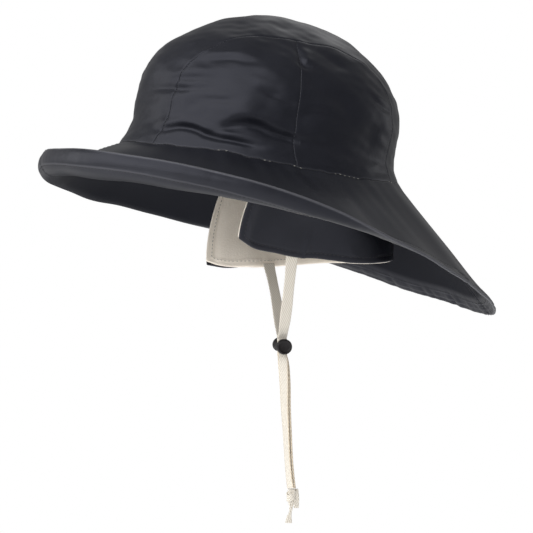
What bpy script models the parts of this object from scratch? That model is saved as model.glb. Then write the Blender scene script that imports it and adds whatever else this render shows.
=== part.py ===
"""Sou'wester hat: five-panel crown, gutter brim with a long tail, lined ear flap, chin tape, cord lock.

Metres, +Z up. The front is at -Y and the wearer's left at +X. The origin is the centre of the head opening.
Tables and sizes are in millimetres, and MM turns them to metres when a mesh is made. The crown and the
brim are modelled with the head opening level, then pitched back as the hat is worn. The ear flap and chin
tape hang plumb.
"""

import math

import bmesh
import bpy
import numpy as np
from mathutils import Matrix

MM = 0.001

# How the hat sits, and the clearances between its pieces.
PITCH = math.radians(8.2)
GAP = 0.3
CROWN_WALL = 1.2
BRIM_WALL = 1.6
FLAP_WALL = 1.2
LINING_WALL = 1.4

# Crown: half-lengths to the front, back and side at each height above the level head opening.
CROWN_SQUARENESS = 2.1
CROWN_TOP = 110.3
CROWN_ROWS = (
    # height, front, back, side
    (-14.0, 109.5, 110.4, 86.6),
    (-9.0, 108.0, 108.8, 85.2),
    (0.0, 105.3, 105.6, 83.4),
    (8.0, 101.9, 102.0, 81.6),
    (17.0, 99.3, 101.2, 80.6),
    (28.0, 98.8, 102.1, 79.8),
    (40.0, 97.9, 102.3, 77.6),
    (52.0, 96.1, 99.8, 73.8),
    (64.0, 91.1, 95.0, 68.0),
    (75.0, 83.4, 87.0, 60.4),
    (84.0, 72.8, 77.6, 52.4),
    (92.0, 61.2, 67.4, 43.6),
    (99.0, 48.6, 56.2, 34.4),
    (105.0, 33.8, 41.4, 24.0),
    (108.6, 19.6, 25.0, 14.4),
    (CROWN_TOP, 0.0, 0.0, 0.0),
)

# The seam between crown and brim dips at the sides.
SEAM_ROWS = (
    # along, height
    (-112.0, -2.6),
    (-106.0, -3.0),
    (-90.0, -4.8),
    (-68.0, -5.6),
    (-48.0, -5.2),
    (-25.0, -7.2),
    (0.0, -8.4),
    (40.0, -8.7),
    (70.0, -6.7),
    (92.0, -3.1),
    (106.0, 0.8),
    (112.0, 2.0),
)

# Half-width of the centre panel, along it from the front of the brim seam over the top to the back.
PANEL_ROWS = (
    # share, half_width
    (0.0, 48.0),
    (0.06, 49.0),
    (0.1, 48.4),
    (0.2, 48.2),
    (0.27, 49.8),
    (0.36, 48.6),
    (0.46, 50.2),
    (0.55, 49.4),
    (0.61, 45.6),
    (0.67, 43.6),
    (0.73, 41.0),
    (0.79, 43.2),
    (0.88, 46.2),
    (1.0, 51.0),
)

# The upright seam between the front and back side panels, from its foot to its head.
SIDE_SEAM_ROWS = (
    # share, along
    (0.0, 8.2),
    (0.1, 5.0),
    (0.3, 3.9),
    (0.65, 4.8),
    (0.82, 4.6),
    (1.0, 2.5),
)

# Faces of the crown's panels: across and along the centre one, across and up the side ones.
CENTRE_PANEL_STEPS = (12, 40)
SIDE_PANEL_STEPS = {"front": (15, 13), "back": (13, 13)}

# Folds and dents of the crown: a valley of this depth with a soft ridge on its upper side.
FOLD_ROWS = (
    # side, along, height, length, width, depth, lean
    (1, -60.0, 6.0, 34.0, 4.5, 3.0, -14.0),
    (1, -25.0, 9.0, 26.0, 7.0, 3.2, -12.0),
    (1, -74.0, 44.0, 22.0, 3.2, 1.6, 4.0),
    (1, -78.0, 37.0, 22.0, 3.2, 1.8, 4.0),
    (1, 8.0, 48.0, 18.0, 5.0, 1.8, -24.0),
    (1, 16.0, 76.0, 12.0, 5.0, 2.6, -62.0),
    (1, 70.0, 20.0, 20.0, 12.0, 1.8, -75.0),
    (-1, -50.0, 10.0, 34.0, 7.0, 2.8, -10.0),
    (-1, 20.0, 40.0, 26.0, 8.0, 2.0, -30.0),
    (-1, 64.0, 14.0, 22.0, 7.0, 2.4, 16.0),
)
FOLD_RIDGE = 0.7
FOLD_RIDGE_PLACE = 1.7
FOLD_SIDE_BLEND = 3.0
FOLD_CLEAR = 2.0
FOLD_FADE = 8.0

# Brim: its lowest line is an egg-shaped ring. The reach is from the ring's centre, and the seam is met a
# little further round than the ring, so that the cloth runs square off the crown.
RIM_CENTRE = 24.7
SEAM_SKEW = math.radians(5.0)
BRIM_ROWS = (
    # angle, reach, height, bow, radius, lift, lip, inset
    (0.0, 175.8, -35.2, 3.0, 8.9, 115.0, 2.8, 0.0),
    (15.0, 174.2, -36.8, 3.0, 9.2, 110.0, 3.2, 0.0),
    (30.0, 166.0, -38.6, 3.0, 9.6, 98.0, 4.4, 0.0),
    (45.0, 153.7, -40.2, 2.6, 9.6, 90.0, 4.5, 0.0),
    (60.0, 142.1, -42.0, 2.0, 9.2, 85.0, 3.7, 0.0),
    (75.0, 134.0, -44.0, 1.0, 8.4, 72.0, 3.2, 0.0),
    (90.0, 131.0, -47.0, 0.2, 7.4, 47.0, 3.6, 0.0),
    (105.0, 132.8, -51.1, -0.2, 6.4, 8.0, 4.6, 2.0),
    (120.0, 134.6, -57.0, -0.5, 6.4, -19.0, 6.0, 5.0),
    (135.0, 138.8, -64.8, -0.6, 6.4, -32.0, 7.0, 7.0),
    (150.0, 148.6, -73.0, -0.6, 6.4, -38.0, 8.0, 8.0),
    (165.0, 162.6, -80.6, -0.6, 6.4, -42.0, 8.0, 8.0),
    (180.0, 174.6, -87.0, -0.6, 6.4, -44.0, 8.0, 8.0),
)
BRIM_STEPS = 30
SLOPE_STEPS = 5
TURN_STEPS = 5

# Ear flap, hung plumb from the inside of the brim seam. It starts at an angle from the front.
FLAP_TUCK = 1.6
FLAP_ROWS = (
    # angle, depth, pull, slant
    (83.0, 53.4, 20.0, -18.0),
    (87.0, 58.2, 25.0, -13.0),
    (93.0, 59.6, 30.0, -5.0),
    (100.0, 60.0, 33.0, 0.0),
    (112.0, 58.8, 28.0, 0.0),
    (130.0, 59.4, 15.0, 0.0),
    (150.0, 58.4, 4.0, -0.6),
    (180.0, 57.6, 0.0, -1.2),
    (210.0, 55.8, 4.0, -0.6),
    (230.0, 55.2, 15.0, 0.0),
    (248.0, 59.2, 28.0, 0.0),
    (262.0, 65.2, 33.0, -5.0),
    (269.0, 68.6, 28.0, -14.0),
    (273.3, 67.6, 22.0, -21.0),
)
FLAP_SLANT_POWER = 1.6
FLAP_PULL_POWER = 1.3
FLAP_INSET = CROWN_WALL + GAP + 0.1
LINING_LONGER = 1.0
FLAP_STEPS = (34, 5)

# Chin tape: its route from the flap through the lock to the knot, in world places. The right tape starts
# further back and lower than the left one.
TAPE_THICKNESS = 1.1
TAPE_ROWS = (
    # x, y, z, turn, width, right_y, right_z
    (45.4, 13.2, -70.2, 90.0, 9.4, 5.2, -4.2),
    (42.6, 13.5, -75.0, 90.0, 8.8, 5.2, -3.8),
    (36.0, 14.2, -85.5, 90.0, 8.0, 5.0, -2.6),
    (28.0, 15.0, -97.0, 90.0, 8.0, 4.4, -1.8),
    (20.0, 15.8, -108.2, 90.0, 8.6, 3.4, -1.0),
    (12.0, 16.6, -118.4, 90.0, 8.4, 1.8, -0.4),
    (5.2, 17.2, -126.0, 90.0, 7.4, 0.4, 0.0),
    (1.4, 17.4, -130.4, 90.0, 7.0, 0.0, 0.0),
    (1.0, 17.4, -133.0, 90.0, 7.0, 0.0, 0.0),
    (1.0, 17.4, -138.5, 90.0, 7.0, 0.0, 0.0),
    (1.0, 17.6, -144.0, 84.0, 7.0, 0.0, 0.0),
    (1.0, 18.8, -152.0, 50.0, 8.2, 0.0, 0.0),
    (1.0, 19.8, -166.0, 32.0, 9.0, 0.0, 0.0),
    (1.0, 20.4, -184.0, 20.0, 9.4, 0.0, 0.0),
    (1.0, 21.6, -204.0, 13.0, 9.4, 0.0, 0.0),
    (1.0, 22.6, -222.0, 12.0, 9.0, 0.0, 0.0),
    (1.0, 23.8, -236.0, 20.0, 7.6, 0.0, 0.0),
    (1.0, 24.8, -244.0, 34.0, 6.4, 0.0, 0.0),
)
TAPE_RINGS = 54

# Cord lock: a barrel lying across the hat, slotted for the tapes, and the head of its plunger.
LOCK_Y = 17.4
LOCK_Z = -137.0
LOCK_TILT = math.radians(5.5)
BARREL_RADIUS = 5.3
BARREL_ENDS = (-9.5, 4.5)
BUTTON_RADIUS = 5.8
BUTTON_ENDS = (4.8, 8.8)
BUTTON_DISH = 0.7
SLOT_HALF_DEPTH = 2.1
SLOT_HALF_WIDTH = 4.2
BUTTON_RIM = 1.4
LOCK_ROUNDING = 0.8
LOCK_STEPS = 24
SEAM_CLOSE = 0.01

# Knot: rings down from the tapes to the cut ends.
KNOT_ROWS = (
    # y, z, half_depth, half_width
    (24.7, -244.6, 2.4, 3.2),
    (24.9, -248.0, 3.4, 4.6),
    (25.2, -252.5, 3.6, 5.2),
    (25.4, -256.5, 2.8, 4.6),
    (24.4, -259.5, 1.5, 2.4),
    (23.6, -262.5, 1.2, 2.0),
    (22.8, -266.0, 1.2, 3.2),
    (22.4, -269.8, 1.0, 2.4),
)
KNOT_STEPS = 10

# Reach and accuracy of the searches along the crown's surface.
RAY_REACH = 140.0
SEAM_REACH = 112.0
HALVINGS = 48
ROUNDS = 30
NORMAL_STEP = 0.05
ARCH_TOP = (0.2, 0.8)
TINY = 1e-6
SHARP_ANGLE = math.radians(40.0)


def smooth_curve(rows, column, flat_ends=False):
    """A smooth function through one column of a table whose first column is the place."""
    places = np.array([row[0] for row in rows], dtype=float)
    values = np.array([row[column] for row in rows], dtype=float)
    slopes = np.gradient(values, places)
    if flat_ends:
        slopes[0] = slopes[-1] = 0.0

    def value_at(place):
        place = np.clip(place, places[0], places[-1])
        index = np.clip(np.searchsorted(places, place) - 1, 0, len(places) - 2)
        span = places[index + 1] - places[index]
        share = (place - places[index]) / span
        start, end = values[index], values[index + 1]
        start_slope, end_slope = slopes[index] * span, slopes[index + 1] * span
        square, cube = share**2, share**3
        return (
            start * (2 * cube - 3 * square + 1)
            + start_slope * (cube - 2 * square + share)
            + end * (3 * square - 2 * cube)
            + end_slope * (cube - square)
        )

    return value_at


def squared(rows):
    """The table with its half-lengths squared, because a dome's squared reach runs straight to its top."""
    return [(row[0],) + tuple(value * value for value in row[1:]) for row in rows]


FRONT_REACH, BACK_REACH, SIDE_REACH = (smooth_curve(squared(CROWN_ROWS), column) for column in (1, 2, 3))
SEAM_HEIGHT = smooth_curve(SEAM_ROWS, 1)
PANEL_HALF_WIDTH = smooth_curve(PANEL_ROWS, 1)
SIDE_SEAM = smooth_curve(SIDE_SEAM_ROWS, 1)
BRIM_CURVES = [smooth_curve(BRIM_ROWS, column, flat_ends=True) for column in range(1, len(BRIM_ROWS[0]))]
FLAP_CURVES = [smooth_curve(FLAP_ROWS, column) for column in range(1, len(FLAP_ROWS[0]))]


def crown_half_length(y, z):
    """Reach of the crown to the front or the back at a height."""
    reach = np.where(y < 0.0, FRONT_REACH(z), BACK_REACH(z))
    return np.sqrt(np.maximum(reach, TINY))


def crown_half_width(y, z):
    """Half-width of the crown at a place of its side view, and less than nothing outside it."""
    share = 1.0 - (np.abs(y) / crown_half_length(y, z)) ** CROWN_SQUARENESS
    side = np.sqrt(np.maximum(SIDE_REACH(z), TINY))
    return np.where(share > 0.0, side * np.maximum(share, 0.0) ** (1.0 / CROWN_SQUARENESS), -1.0)


def crown_level(x, y, z):
    """One on the crown's outer surface, less inside it."""
    side = np.sqrt(np.maximum(SIDE_REACH(z), TINY))
    return (np.abs(x) / side) ** CROWN_SQUARENESS + (np.abs(y) / crown_half_length(y, z)) ** CROWN_SQUARENESS


def crown_normals(points):
    """Unit outward normals of the crown at an array of points."""
    slopes = []
    for axis in range(3):
        ahead, behind = points.copy(), points.copy()
        ahead[..., axis] += NORMAL_STEP
        behind[..., axis] -= NORMAL_STEP
        slopes.append(crown_level(*np.moveaxis(ahead, -1, 0)) - crown_level(*np.moveaxis(behind, -1, 0)))
    normals = np.stack(slopes, axis=-1)
    return normals / np.linalg.norm(normals, axis=-1, keepdims=True)


def crown_point(x, turn):
    """The crown's point at this x along a ray of its side view. Turn 0 is forward, pi is back."""
    low, high = 0.0, RAY_REACH
    for _ in range(HALVINGS):
        middle = 0.5 * (low + high)
        y, z = -middle * math.cos(turn), middle * math.sin(turn)
        inside = z < CROWN_TOP and crown_half_width(y, z) > abs(x)
        low, high = (middle, high) if inside else (low, middle)
    return np.array((x, -low * math.cos(turn), low * math.sin(turn)))


def seam_foot(x, toward):
    """The point of the brim seam at this x, to the front (-1) or the back (1)."""
    low, high = 0.0, SEAM_REACH
    for _ in range(HALVINGS):
        middle = 0.5 * (low + high)
        inside = crown_half_width(toward * middle, SEAM_HEIGHT(toward * middle)) > abs(x)
        low, high = (middle, high) if inside else (low, middle)
    return np.array((x, toward * low, float(SEAM_HEIGHT(toward * low))))


def seam_point(angle, rise=0.0):
    """The crown's point this far above the brim seam at an angle from the front, on the left side."""
    length = SEAM_REACH
    for _ in range(ROUNDS):
        y = -length * math.cos(angle)
        length = float(crown_half_length(y, SEAM_HEIGHT(y) + rise))
    y = -length * math.cos(angle)
    z = float(SEAM_HEIGHT(y)) + rise
    side = math.sqrt(float(SIDE_REACH(z)))
    x = side * (1.0 - abs(math.cos(angle)) ** CROWN_SQUARENESS) ** (1.0 / CROWN_SQUARENESS)
    return np.array((x, y, z))


def fold_depth(points):
    """How far the folds move the crown's surface inward at an array of points."""
    total = np.zeros(points.shape[:-1])
    for side, along, height, length, width, depth, lean in FOLD_ROWS:
        cos, sin = math.cos(math.radians(lean)), math.sin(math.radians(lean))
        dy, dz = points[..., 1] - along, points[..., 2] - height
        run = (dy * cos + dz * sin) / length
        rise = (dz * cos - dy * sin) / width
        valley = np.exp(-(rise**2)) - FOLD_RIDGE * np.exp(-((rise - FOLD_RIDGE_PLACE) ** 2))
        own_side = 1.0 / (1.0 + np.exp(-side * points[..., 0] / FOLD_SIDE_BLEND))
        total += depth * valley * np.exp(-(run**2)) * own_side
    rise = np.clip((points[..., 2] - SEAM_HEIGHT(points[..., 1]) - FOLD_CLEAR) / FOLD_FADE, 0.0, 1.0)
    return total * rise * rise * (3.0 - 2.0 * rise)


def with_folds(points):
    """The crown's points with the folds pressed in."""
    return points - crown_normals(points) * fold_depth(points)[..., None]


def centre_panel_grid(across, along):
    """Points of the centre panel, from the front of the brim seam over the top to the back."""
    grid = np.zeros((along + 1, across + 1, 3))
    for column in range(across + 1):
        share = -1.0 + 2.0 * column / across
        front = seam_foot(share * (PANEL_HALF_WIDTH(0.0) - GAP / 2), -1.0)
        back = seam_foot(share * (PANEL_HALF_WIDTH(1.0) - GAP / 2), 1.0)
        start, end = math.atan2(front[2], -front[1]), math.atan2(back[2], -back[1]) % (2.0 * math.pi)
        for row in range(along + 1):
            place = row / along
            x = share * (PANEL_HALF_WIDTH(place) - GAP / 2)
            grid[row, column] = crown_point(x, start + (end - start) * place)
    return grid


def arch_point(place):
    """A point of the centre panel's left seam, with the gap's other half, at a share of its way."""
    front = seam_foot(PANEL_HALF_WIDTH(0.0) + GAP / 2, -1.0)
    back = seam_foot(PANEL_HALF_WIDTH(1.0) + GAP / 2, 1.0)
    start, end = math.atan2(front[2], -front[1]), math.atan2(back[2], -back[1]) % (2.0 * math.pi)
    return crown_point(PANEL_HALF_WIDTH(place) + GAP / 2, start + (end - start) * place)


def share_on_arch(y):
    """The share of the arch's way, near its top, where it stands at this y."""
    low, high = ARCH_TOP
    for _ in range(HALVINGS):
        middle = 0.5 * (low + high)
        low, high = (middle, high) if arch_point(middle)[1] < y else (low, middle)
    return low


def side_panel_grid(toward, across, upward):
    """Points of the left side's front (-1) or back (1) panel, as a four-sided patch of the side view."""
    foot, head = (float(SIDE_SEAM(share)) + toward * GAP / 2 for share in (0.0, 1.0))
    end_share = 0.0 if toward < 0 else 1.0
    head_share = share_on_arch(head)
    corner_share = end_share + (head_share - end_share) * 0.5
    outer_foot = arch_point(end_share)

    s = np.linspace(0.0, 1.0, across + 1)[None, :, None]
    t = np.linspace(0.0, 1.0, upward + 1)[:, None, None]
    along = outer_foot[1] + (foot - outer_foot[1]) * s[0, :, 0]
    bottom = np.stack((along, SEAM_HEIGHT(along)), axis=-1)[None]
    top_shares = corner_share + (head_share - corner_share) * s[0, :, 0]
    top = np.array([arch_point(share)[1:] for share in top_shares])[None]
    outer_shares = end_share + (corner_share - end_share) * t[:, 0, 0]
    outer = np.array([arch_point(share)[1:] for share in outer_shares])[:, None]
    inner = bottom[:, -1:] + (top[:, -1:] - bottom[:, -1:]) * t
    inner[..., 0] = SIDE_SEAM(t[..., 0]) + toward * GAP / 2
    sides = (1 - t) * bottom + t * top + (1 - s) * outer + s * inner
    lower_corners = (1 - s) * (1 - t) * bottom[:, :1] + s * (1 - t) * bottom[:, -1:]
    upper_corners = (1 - s) * t * top[:, :1] + s * t * top[:, -1:]
    y, z = np.moveaxis(sides - lower_corners - upper_corners, -1, 0)
    return np.stack((crown_half_width(y, z), y, z), axis=-1)


def brim_section(angle, slope_steps, turn_steps):
    """The brim's upper face at one angle: the slope down from the seam, the gutter's turn and its lip."""
    place = math.degrees(angle)
    rim_reach, height, bow, radius, lift, lip, inset = (float(curve(place)) for curve in BRIM_CURVES)
    start = seam_point(angle + SEAM_SKEW * math.sin(2.0 * angle)) + (0.0, 0.0, -GAP)
    across, along = rim_reach * math.sin(angle), RIM_CENTRE - rim_reach * math.cos(angle)
    rim = np.array((across, along, height + BRIM_WALL))
    outward = (rim - start) * (1.0, 1.0, 0.0)
    rim_length = np.linalg.norm(outward)
    outward /= rim_length
    rim_fall = start[2] - rim[2]
    slope = math.atan2(rim_fall, rim_length)
    for _ in range(ROUNDS):
        turn = max(math.radians(lift) + slope, 0.0)
        end_slope = max(slope - turn, 0.0)
        reach = rim_length - inset * math.cos(end_slope)
        fall = rim_fall - inset * math.sin(end_slope)
        centre_q = reach + radius * math.sin(end_slope)
        centre_z = -fall + radius * math.cos(end_slope)
        tangent_q = centre_q - radius * math.sin(slope)
        tangent_z = centre_z - radius * math.cos(slope)
        slope = math.atan2(-tangent_z, tangent_q)
    section = []
    for step in range(slope_steps):
        share = step / slope_steps
        swell = 4.0 * bow * share * (1.0 - share)
        q = tangent_q * share + swell * math.sin(slope)
        z = tangent_z * share + swell * math.cos(slope)
        section.append((q, z))
    for step in range(turn_steps + 1):
        heading = slope - turn * step / turn_steps
        section.append((centre_q - radius * math.sin(heading), centre_z - radius * math.cos(heading)))
    heading = slope - turn
    q, z = section[-1]
    section.append((q + lip * math.cos(heading), z - lip * math.sin(heading)))
    return np.array([start + outward * q + (0.0, 0.0, z) for q, z in section])


def brim_grid(side, around, slope_steps, turn_steps):
    """Points of one half of the brim, from centre front to centre back."""
    rows = [brim_section(math.pi * step / around, slope_steps, turn_steps) for step in range(around + 1)]
    grid = np.array(rows)
    grid[..., 0] = side * (np.maximum(grid[..., 0], 0.0) + GAP)
    return grid


def pitched(points):
    """Level places turned to where the worn hat has them."""
    turned = points.copy()
    cos, sin = math.cos(PITCH), math.sin(PITCH)
    turned[..., 1] = points[..., 1] * cos + points[..., 2] * sin
    turned[..., 2] = points[..., 2] * cos - points[..., 1] * sin
    return turned


def flap_grid(longer, around, down):
    """Points of the ear flap's outer face, hung plumb from inside the brim seam."""
    first, last = FLAP_ROWS[0][0], FLAP_ROWS[-1][0]
    grid = np.zeros((around + 1, down + 1, 3))
    for step in range(around + 1):
        place = first + (last - first) * step / around
        mirror = 1.0 if place <= 180.0 else -1.0
        folded = place if place <= 180.0 else 360.0 - place
        depth, pull, slant = (float(curve(place)) for curve in FLAP_CURVES)
        top = seam_point(math.radians(folded), FLAP_TUCK)
        outward = crown_normals(top[None])[0] * (1.0, 1.0, 0.0)
        outward /= np.linalg.norm(outward)
        top = pitched(top - outward * FLAP_INSET)
        drops = np.linspace(0.0, depth + FLAP_TUCK, down + 1)
        drops[-1] += longer
        for row, drop in enumerate(drops):
            share = drop / (depth + FLAP_TUCK)
            point = top - outward * (pull * share**FLAP_PULL_POWER)
            point[1] += slant * (1.0 - max(1.0 - share, 0.0) ** FLAP_SLANT_POWER)
            point[2] -= drop
            grid[step, row] = (mirror * point[0], point[1], point[2])
    return grid


def moved_inward(grid, distance):
    """The same face moved square to itself, away from its outer side."""
    normals = np.cross(np.gradient(grid, axis=1), np.gradient(grid, axis=0))
    normals /= np.linalg.norm(normals, axis=-1, keepdims=True)
    return grid - normals * distance


def tape_grid(side):
    """Rings of four corners along one tape, from the flap to the knot."""
    places = np.linspace(0.0, 1.0, len(TAPE_ROWS))
    rows = [(place,) + row for place, row in zip(places, TAPE_ROWS)]
    curves = [smooth_curve(rows, column) for column in range(1, len(rows[0]))]
    shares = np.linspace(0.0, 1.0, TAPE_RINGS)
    x, y, z, turn, width, right_y, right_z = (curve(shares) for curve in curves)
    if side < 0:
        y, z = y + right_y, z + right_z
    turn = np.radians(turn)
    centres = np.stack((side * x * np.sin(turn), y - side * x * np.cos(turn), z), axis=-1)
    tangents = np.gradient(centres, axis=0)
    tangents /= np.linalg.norm(tangents, axis=-1, keepdims=True)
    rings = []
    for centre, tangent, angle, wide in zip(centres, tangents, turn, width):
        across = np.array((math.cos(angle), math.sin(angle), 0.0))
        across -= tangent * across.dot(tangent)
        across /= np.linalg.norm(across)
        face = np.cross(tangent, across)
        corners = ((1, 1), (-1, 1), (-1, -1), (1, -1))
        half, thick = across * wide / 2, face * TAPE_THICKNESS / 2
        rings.append([centre + half * a + thick * b for a, b in corners])
    return np.array(rings)


def make_material(name, colour, roughness, metallic=0.0):
    """A plain finish with the sub-part's colour."""
    material = bpy.data.materials.new(name)
    material.use_nodes = True
    shader = material.node_tree.nodes["Principled BSDF"]
    shader.inputs["Base Color"].default_value = (*colour, 1.0)
    shader.inputs["Roughness"].default_value = roughness
    shader.inputs["Metallic"].default_value = metallic
    material.diffuse_color = (*colour, 1.0)
    return material


def finish_object(name, mesh, material, parent=None):
    """Put a mesh in the scene as a named sub-part."""
    mesh.materials.append(material)
    mesh.shade_smooth()
    mesh.set_sharp_from_angle(angle=SHARP_ANGLE)
    obj = bpy.data.objects.new(name, mesh)
    obj.parent = parent
    bpy.context.scene.collection.objects.link(obj)
    return obj


def make_sheet(name, grid, wall, material, parent=None):
    """A cloth piece: the grid is its outer face, and Solidify gives it its wall on the inner side."""
    rows, columns = grid.shape[:2]
    build = bmesh.new()
    vertices = [[build.verts.new(point * MM) for point in line] for line in grid]
    for row in range(rows - 1):
        for column in range(columns - 1):
            corners = ((row, column), (row, column + 1), (row + 1, column + 1), (row + 1, column))
            build.faces.new([vertices[r][c] for r, c in corners])
    mesh = bpy.data.meshes.new(name)
    build.to_mesh(mesh)
    build.free()
    obj = finish_object(name, mesh, material, parent)
    solidify = obj.modifiers.new("wall", "SOLIDIFY")
    solidify.thickness = wall * MM
    solidify.offset = -1.0
    return obj


def make_loft(name, rings, material):
    """A closed solid through rings of the same number of corners."""
    build = bmesh.new()
    loops = [[build.verts.new(np.asarray(corner) * MM) for corner in ring] for ring in rings]
    for first, second in zip(loops, loops[1:]):
        for index in range(len(first)):
            after = (index + 1) % len(first)
            build.faces.new((first[index], first[after], second[after], second[index]))
    build.faces.new(reversed(loops[0]))
    build.faces.new(loops[-1])
    bmesh.ops.recalc_face_normals(build, faces=build.faces)
    mesh = bpy.data.meshes.new(name)
    build.to_mesh(mesh)
    build.free()
    return finish_object(name, mesh, material)


def make_crown(cloth, parent):
    """The five panels."""
    centre = with_folds(centre_panel_grid(*CENTRE_PANEL_STEPS))
    make_sheet("crown_centre_panel", centre, CROWN_WALL, cloth, parent)
    for toward, where in ((-1, "front"), (1, "back")):
        grid = side_panel_grid(toward, *SIDE_PANEL_STEPS[where])
        if toward > 0:
            grid = grid[:, ::-1]
        left = with_folds(grid)
        right = with_folds(grid * (-1.0, 1.0, 1.0))[:, ::-1]
        make_sheet(f"crown_side_{where}_left", left, CROWN_WALL, cloth, parent)
        make_sheet(f"crown_side_{where}_right", right, CROWN_WALL, cloth, parent)


def make_brim(cloth, parent):
    """The two halves of the brim."""
    for side, where in ((1, "left"), (-1, "right")):
        grid = brim_grid(side, BRIM_STEPS, SLOPE_STEPS, TURN_STEPS)
        if side < 0:
            grid = grid[:, ::-1]
        make_sheet(f"brim_{where}", grid, BRIM_WALL, cloth, parent)


def make_ear_flap(cloth, flannel):
    """The two layers of the ear flap."""
    lining = moved_inward(flap_grid(LINING_LONGER, *FLAP_STEPS), FLAP_WALL + GAP)
    make_sheet("ear_flap_outer", flap_grid(0.0, *FLAP_STEPS), FLAP_WALL, cloth)
    make_sheet("ear_flap_lining", lining, LINING_WALL, flannel)


def make_chin_tape(cotton):
    """The two tapes and the knot that joins them."""
    for side, where in ((1, "left"), (-1, "right")):
        make_loft(f"chin_tape_{where}", tape_grid(side), cotton)
    rings = []
    for y, z, half_depth, half_width in KNOT_ROWS:
        turns = [2.0 * math.pi * step / KNOT_STEPS for step in range(KNOT_STEPS)]
        rings.append([(half_depth * math.cos(turn), y + half_width * math.sin(turn), z) for turn in turns])
    make_loft("tape_knot", rings, cotton)


def make_turned(name, profile, material):
    """A round piece about the lock's axis, from rows of place along it and radius."""
    build = bmesh.new()
    vertices = [build.verts.new((along * MM, 0.0, radius * MM)) for along, radius in profile]
    edges = [build.edges.new(pair) for pair in zip(vertices, vertices[1:])]
    profile_line = vertices + edges
    axis, centre = (1, 0, 0), (0, 0, 0)
    bmesh.ops.spin(build, geom=profile_line, axis=axis, cent=centre, steps=LOCK_STEPS, angle=2.0 * math.pi)
    bmesh.ops.remove_doubles(build, verts=build.verts, dist=SEAM_CLOSE * MM)
    bmesh.ops.recalc_face_normals(build, faces=build.faces)
    mesh = bpy.data.meshes.new(name)
    build.to_mesh(mesh)
    build.free()
    obj = finish_object(name, mesh, material)
    obj.location = (0.0, LOCK_Y * MM, LOCK_Z * MM)
    obj.rotation_euler = (0.0, LOCK_TILT, 0.0)
    return obj


def make_cord_lock(plastic):
    """The slotted barrel and the head of its plunger."""
    back, front = BARREL_ENDS
    soft = LOCK_ROUNDING
    barrel = make_turned(
        "cord_lock_barrel",
        (
            (back, 0.0),
            (back, BARREL_RADIUS - soft),
            (back + soft, BARREL_RADIUS),
            (front - soft / 2, BARREL_RADIUS),
            (front, BARREL_RADIUS - soft / 2),
            (front, 0.0),
        ),
        plastic,
    )
    cutter_mesh = bpy.data.meshes.new("slot_cutter")
    build = bmesh.new()
    sizes = Matrix.Diagonal((2 * SLOT_HALF_DEPTH * MM, 2 * SLOT_HALF_WIDTH * MM, 4 * BARREL_RADIUS * MM, 1.0))
    bmesh.ops.create_cube(build, size=1.0, matrix=sizes)
    build.to_mesh(cutter_mesh)
    build.free()
    cutter = bpy.data.objects.new("slot_cutter", cutter_mesh)
    cutter.location = (0.0, LOCK_Y * MM, LOCK_Z * MM)
    cutter.hide_render = True
    cutter.display_type = "WIRE"
    bpy.context.scene.collection.objects.link(cutter)
    slot = barrel.modifiers.new("slot", "BOOLEAN")
    slot.object = cutter
    slot.operation = "DIFFERENCE"
    slot.solver = "EXACT"
    start, end = BUTTON_ENDS
    make_turned(
        "cord_lock_button",
        (
            (start, 0.0),
            (start, BUTTON_RADIUS - soft / 2),
            (start + soft / 2, BUTTON_RADIUS),
            (end - soft, BUTTON_RADIUS),
            (end, BUTTON_RADIUS - soft),
            (end, BUTTON_RADIUS - BUTTON_RIM),
            (end - BUTTON_DISH, BUTTON_RADIUS - BUTTON_RIM - BUTTON_DISH),
            (end - BUTTON_DISH, 0.0),
        ),
        plastic,
    )


def main():
    """Clear the scene and build the hat."""
    for obj in list(bpy.data.objects):
        bpy.data.objects.remove(obj)
    cloth = make_material("coated_cloth", (0.012, 0.012, 0.014), 0.45)
    flannel = make_material("flannel", (0.68, 0.61, 0.54), 0.95)
    cotton = make_material("cotton_tape", (0.82, 0.76, 0.68), 0.9)
    plastic = make_material("black_plastic", (0.012, 0.01, 0.012), 0.4)
    worn = bpy.data.objects.new("worn_pitch", None)
    worn.rotation_euler = (-PITCH, 0.0, 0.0)
    bpy.context.scene.collection.objects.link(worn)
    make_crown(cloth, worn)
    make_brim(cloth, worn)
    make_ear_flap(cloth, flannel)
    make_chin_tape(cotton)
    make_cord_lock(plastic)


main()
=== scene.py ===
"""Looks of a sou'wester hat: coated cloth crown and gutter brim, flannel-lined ear flap, twill chin tape.

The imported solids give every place. Tables of the cloth are in millimetres, and MM turns them to metres
when a mesh is made. The front is at -Y, the wearer's left at +X, and the origin is the centre of the head
opening. The crown and the brim are worked out with the head opening level, then pitched back as worn.
"""

import logging
import math
from collections.abc import Callable, Sequence
from dataclasses import dataclass
from enum import Enum

import bmesh
import bpy
import numpy as np
from mathutils import Matrix, Vector


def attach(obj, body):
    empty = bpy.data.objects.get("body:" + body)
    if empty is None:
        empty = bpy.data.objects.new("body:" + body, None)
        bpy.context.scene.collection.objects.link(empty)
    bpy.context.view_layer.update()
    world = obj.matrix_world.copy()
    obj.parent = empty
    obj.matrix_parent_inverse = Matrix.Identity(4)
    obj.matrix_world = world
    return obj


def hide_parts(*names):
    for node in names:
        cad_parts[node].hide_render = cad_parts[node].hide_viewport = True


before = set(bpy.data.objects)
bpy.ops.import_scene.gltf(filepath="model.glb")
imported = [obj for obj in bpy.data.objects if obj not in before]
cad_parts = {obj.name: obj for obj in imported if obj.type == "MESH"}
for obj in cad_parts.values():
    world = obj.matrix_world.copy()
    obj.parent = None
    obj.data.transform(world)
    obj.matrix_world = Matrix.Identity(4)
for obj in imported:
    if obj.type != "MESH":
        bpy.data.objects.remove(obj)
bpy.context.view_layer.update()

log = logging.getLogger("hat")
MM = 0.001
BODY = "root"
WHITE = (1.0, 1.0, 1.0, 1.0)
TURN = 2.0 * math.pi
SMALL = 1e-6
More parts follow.
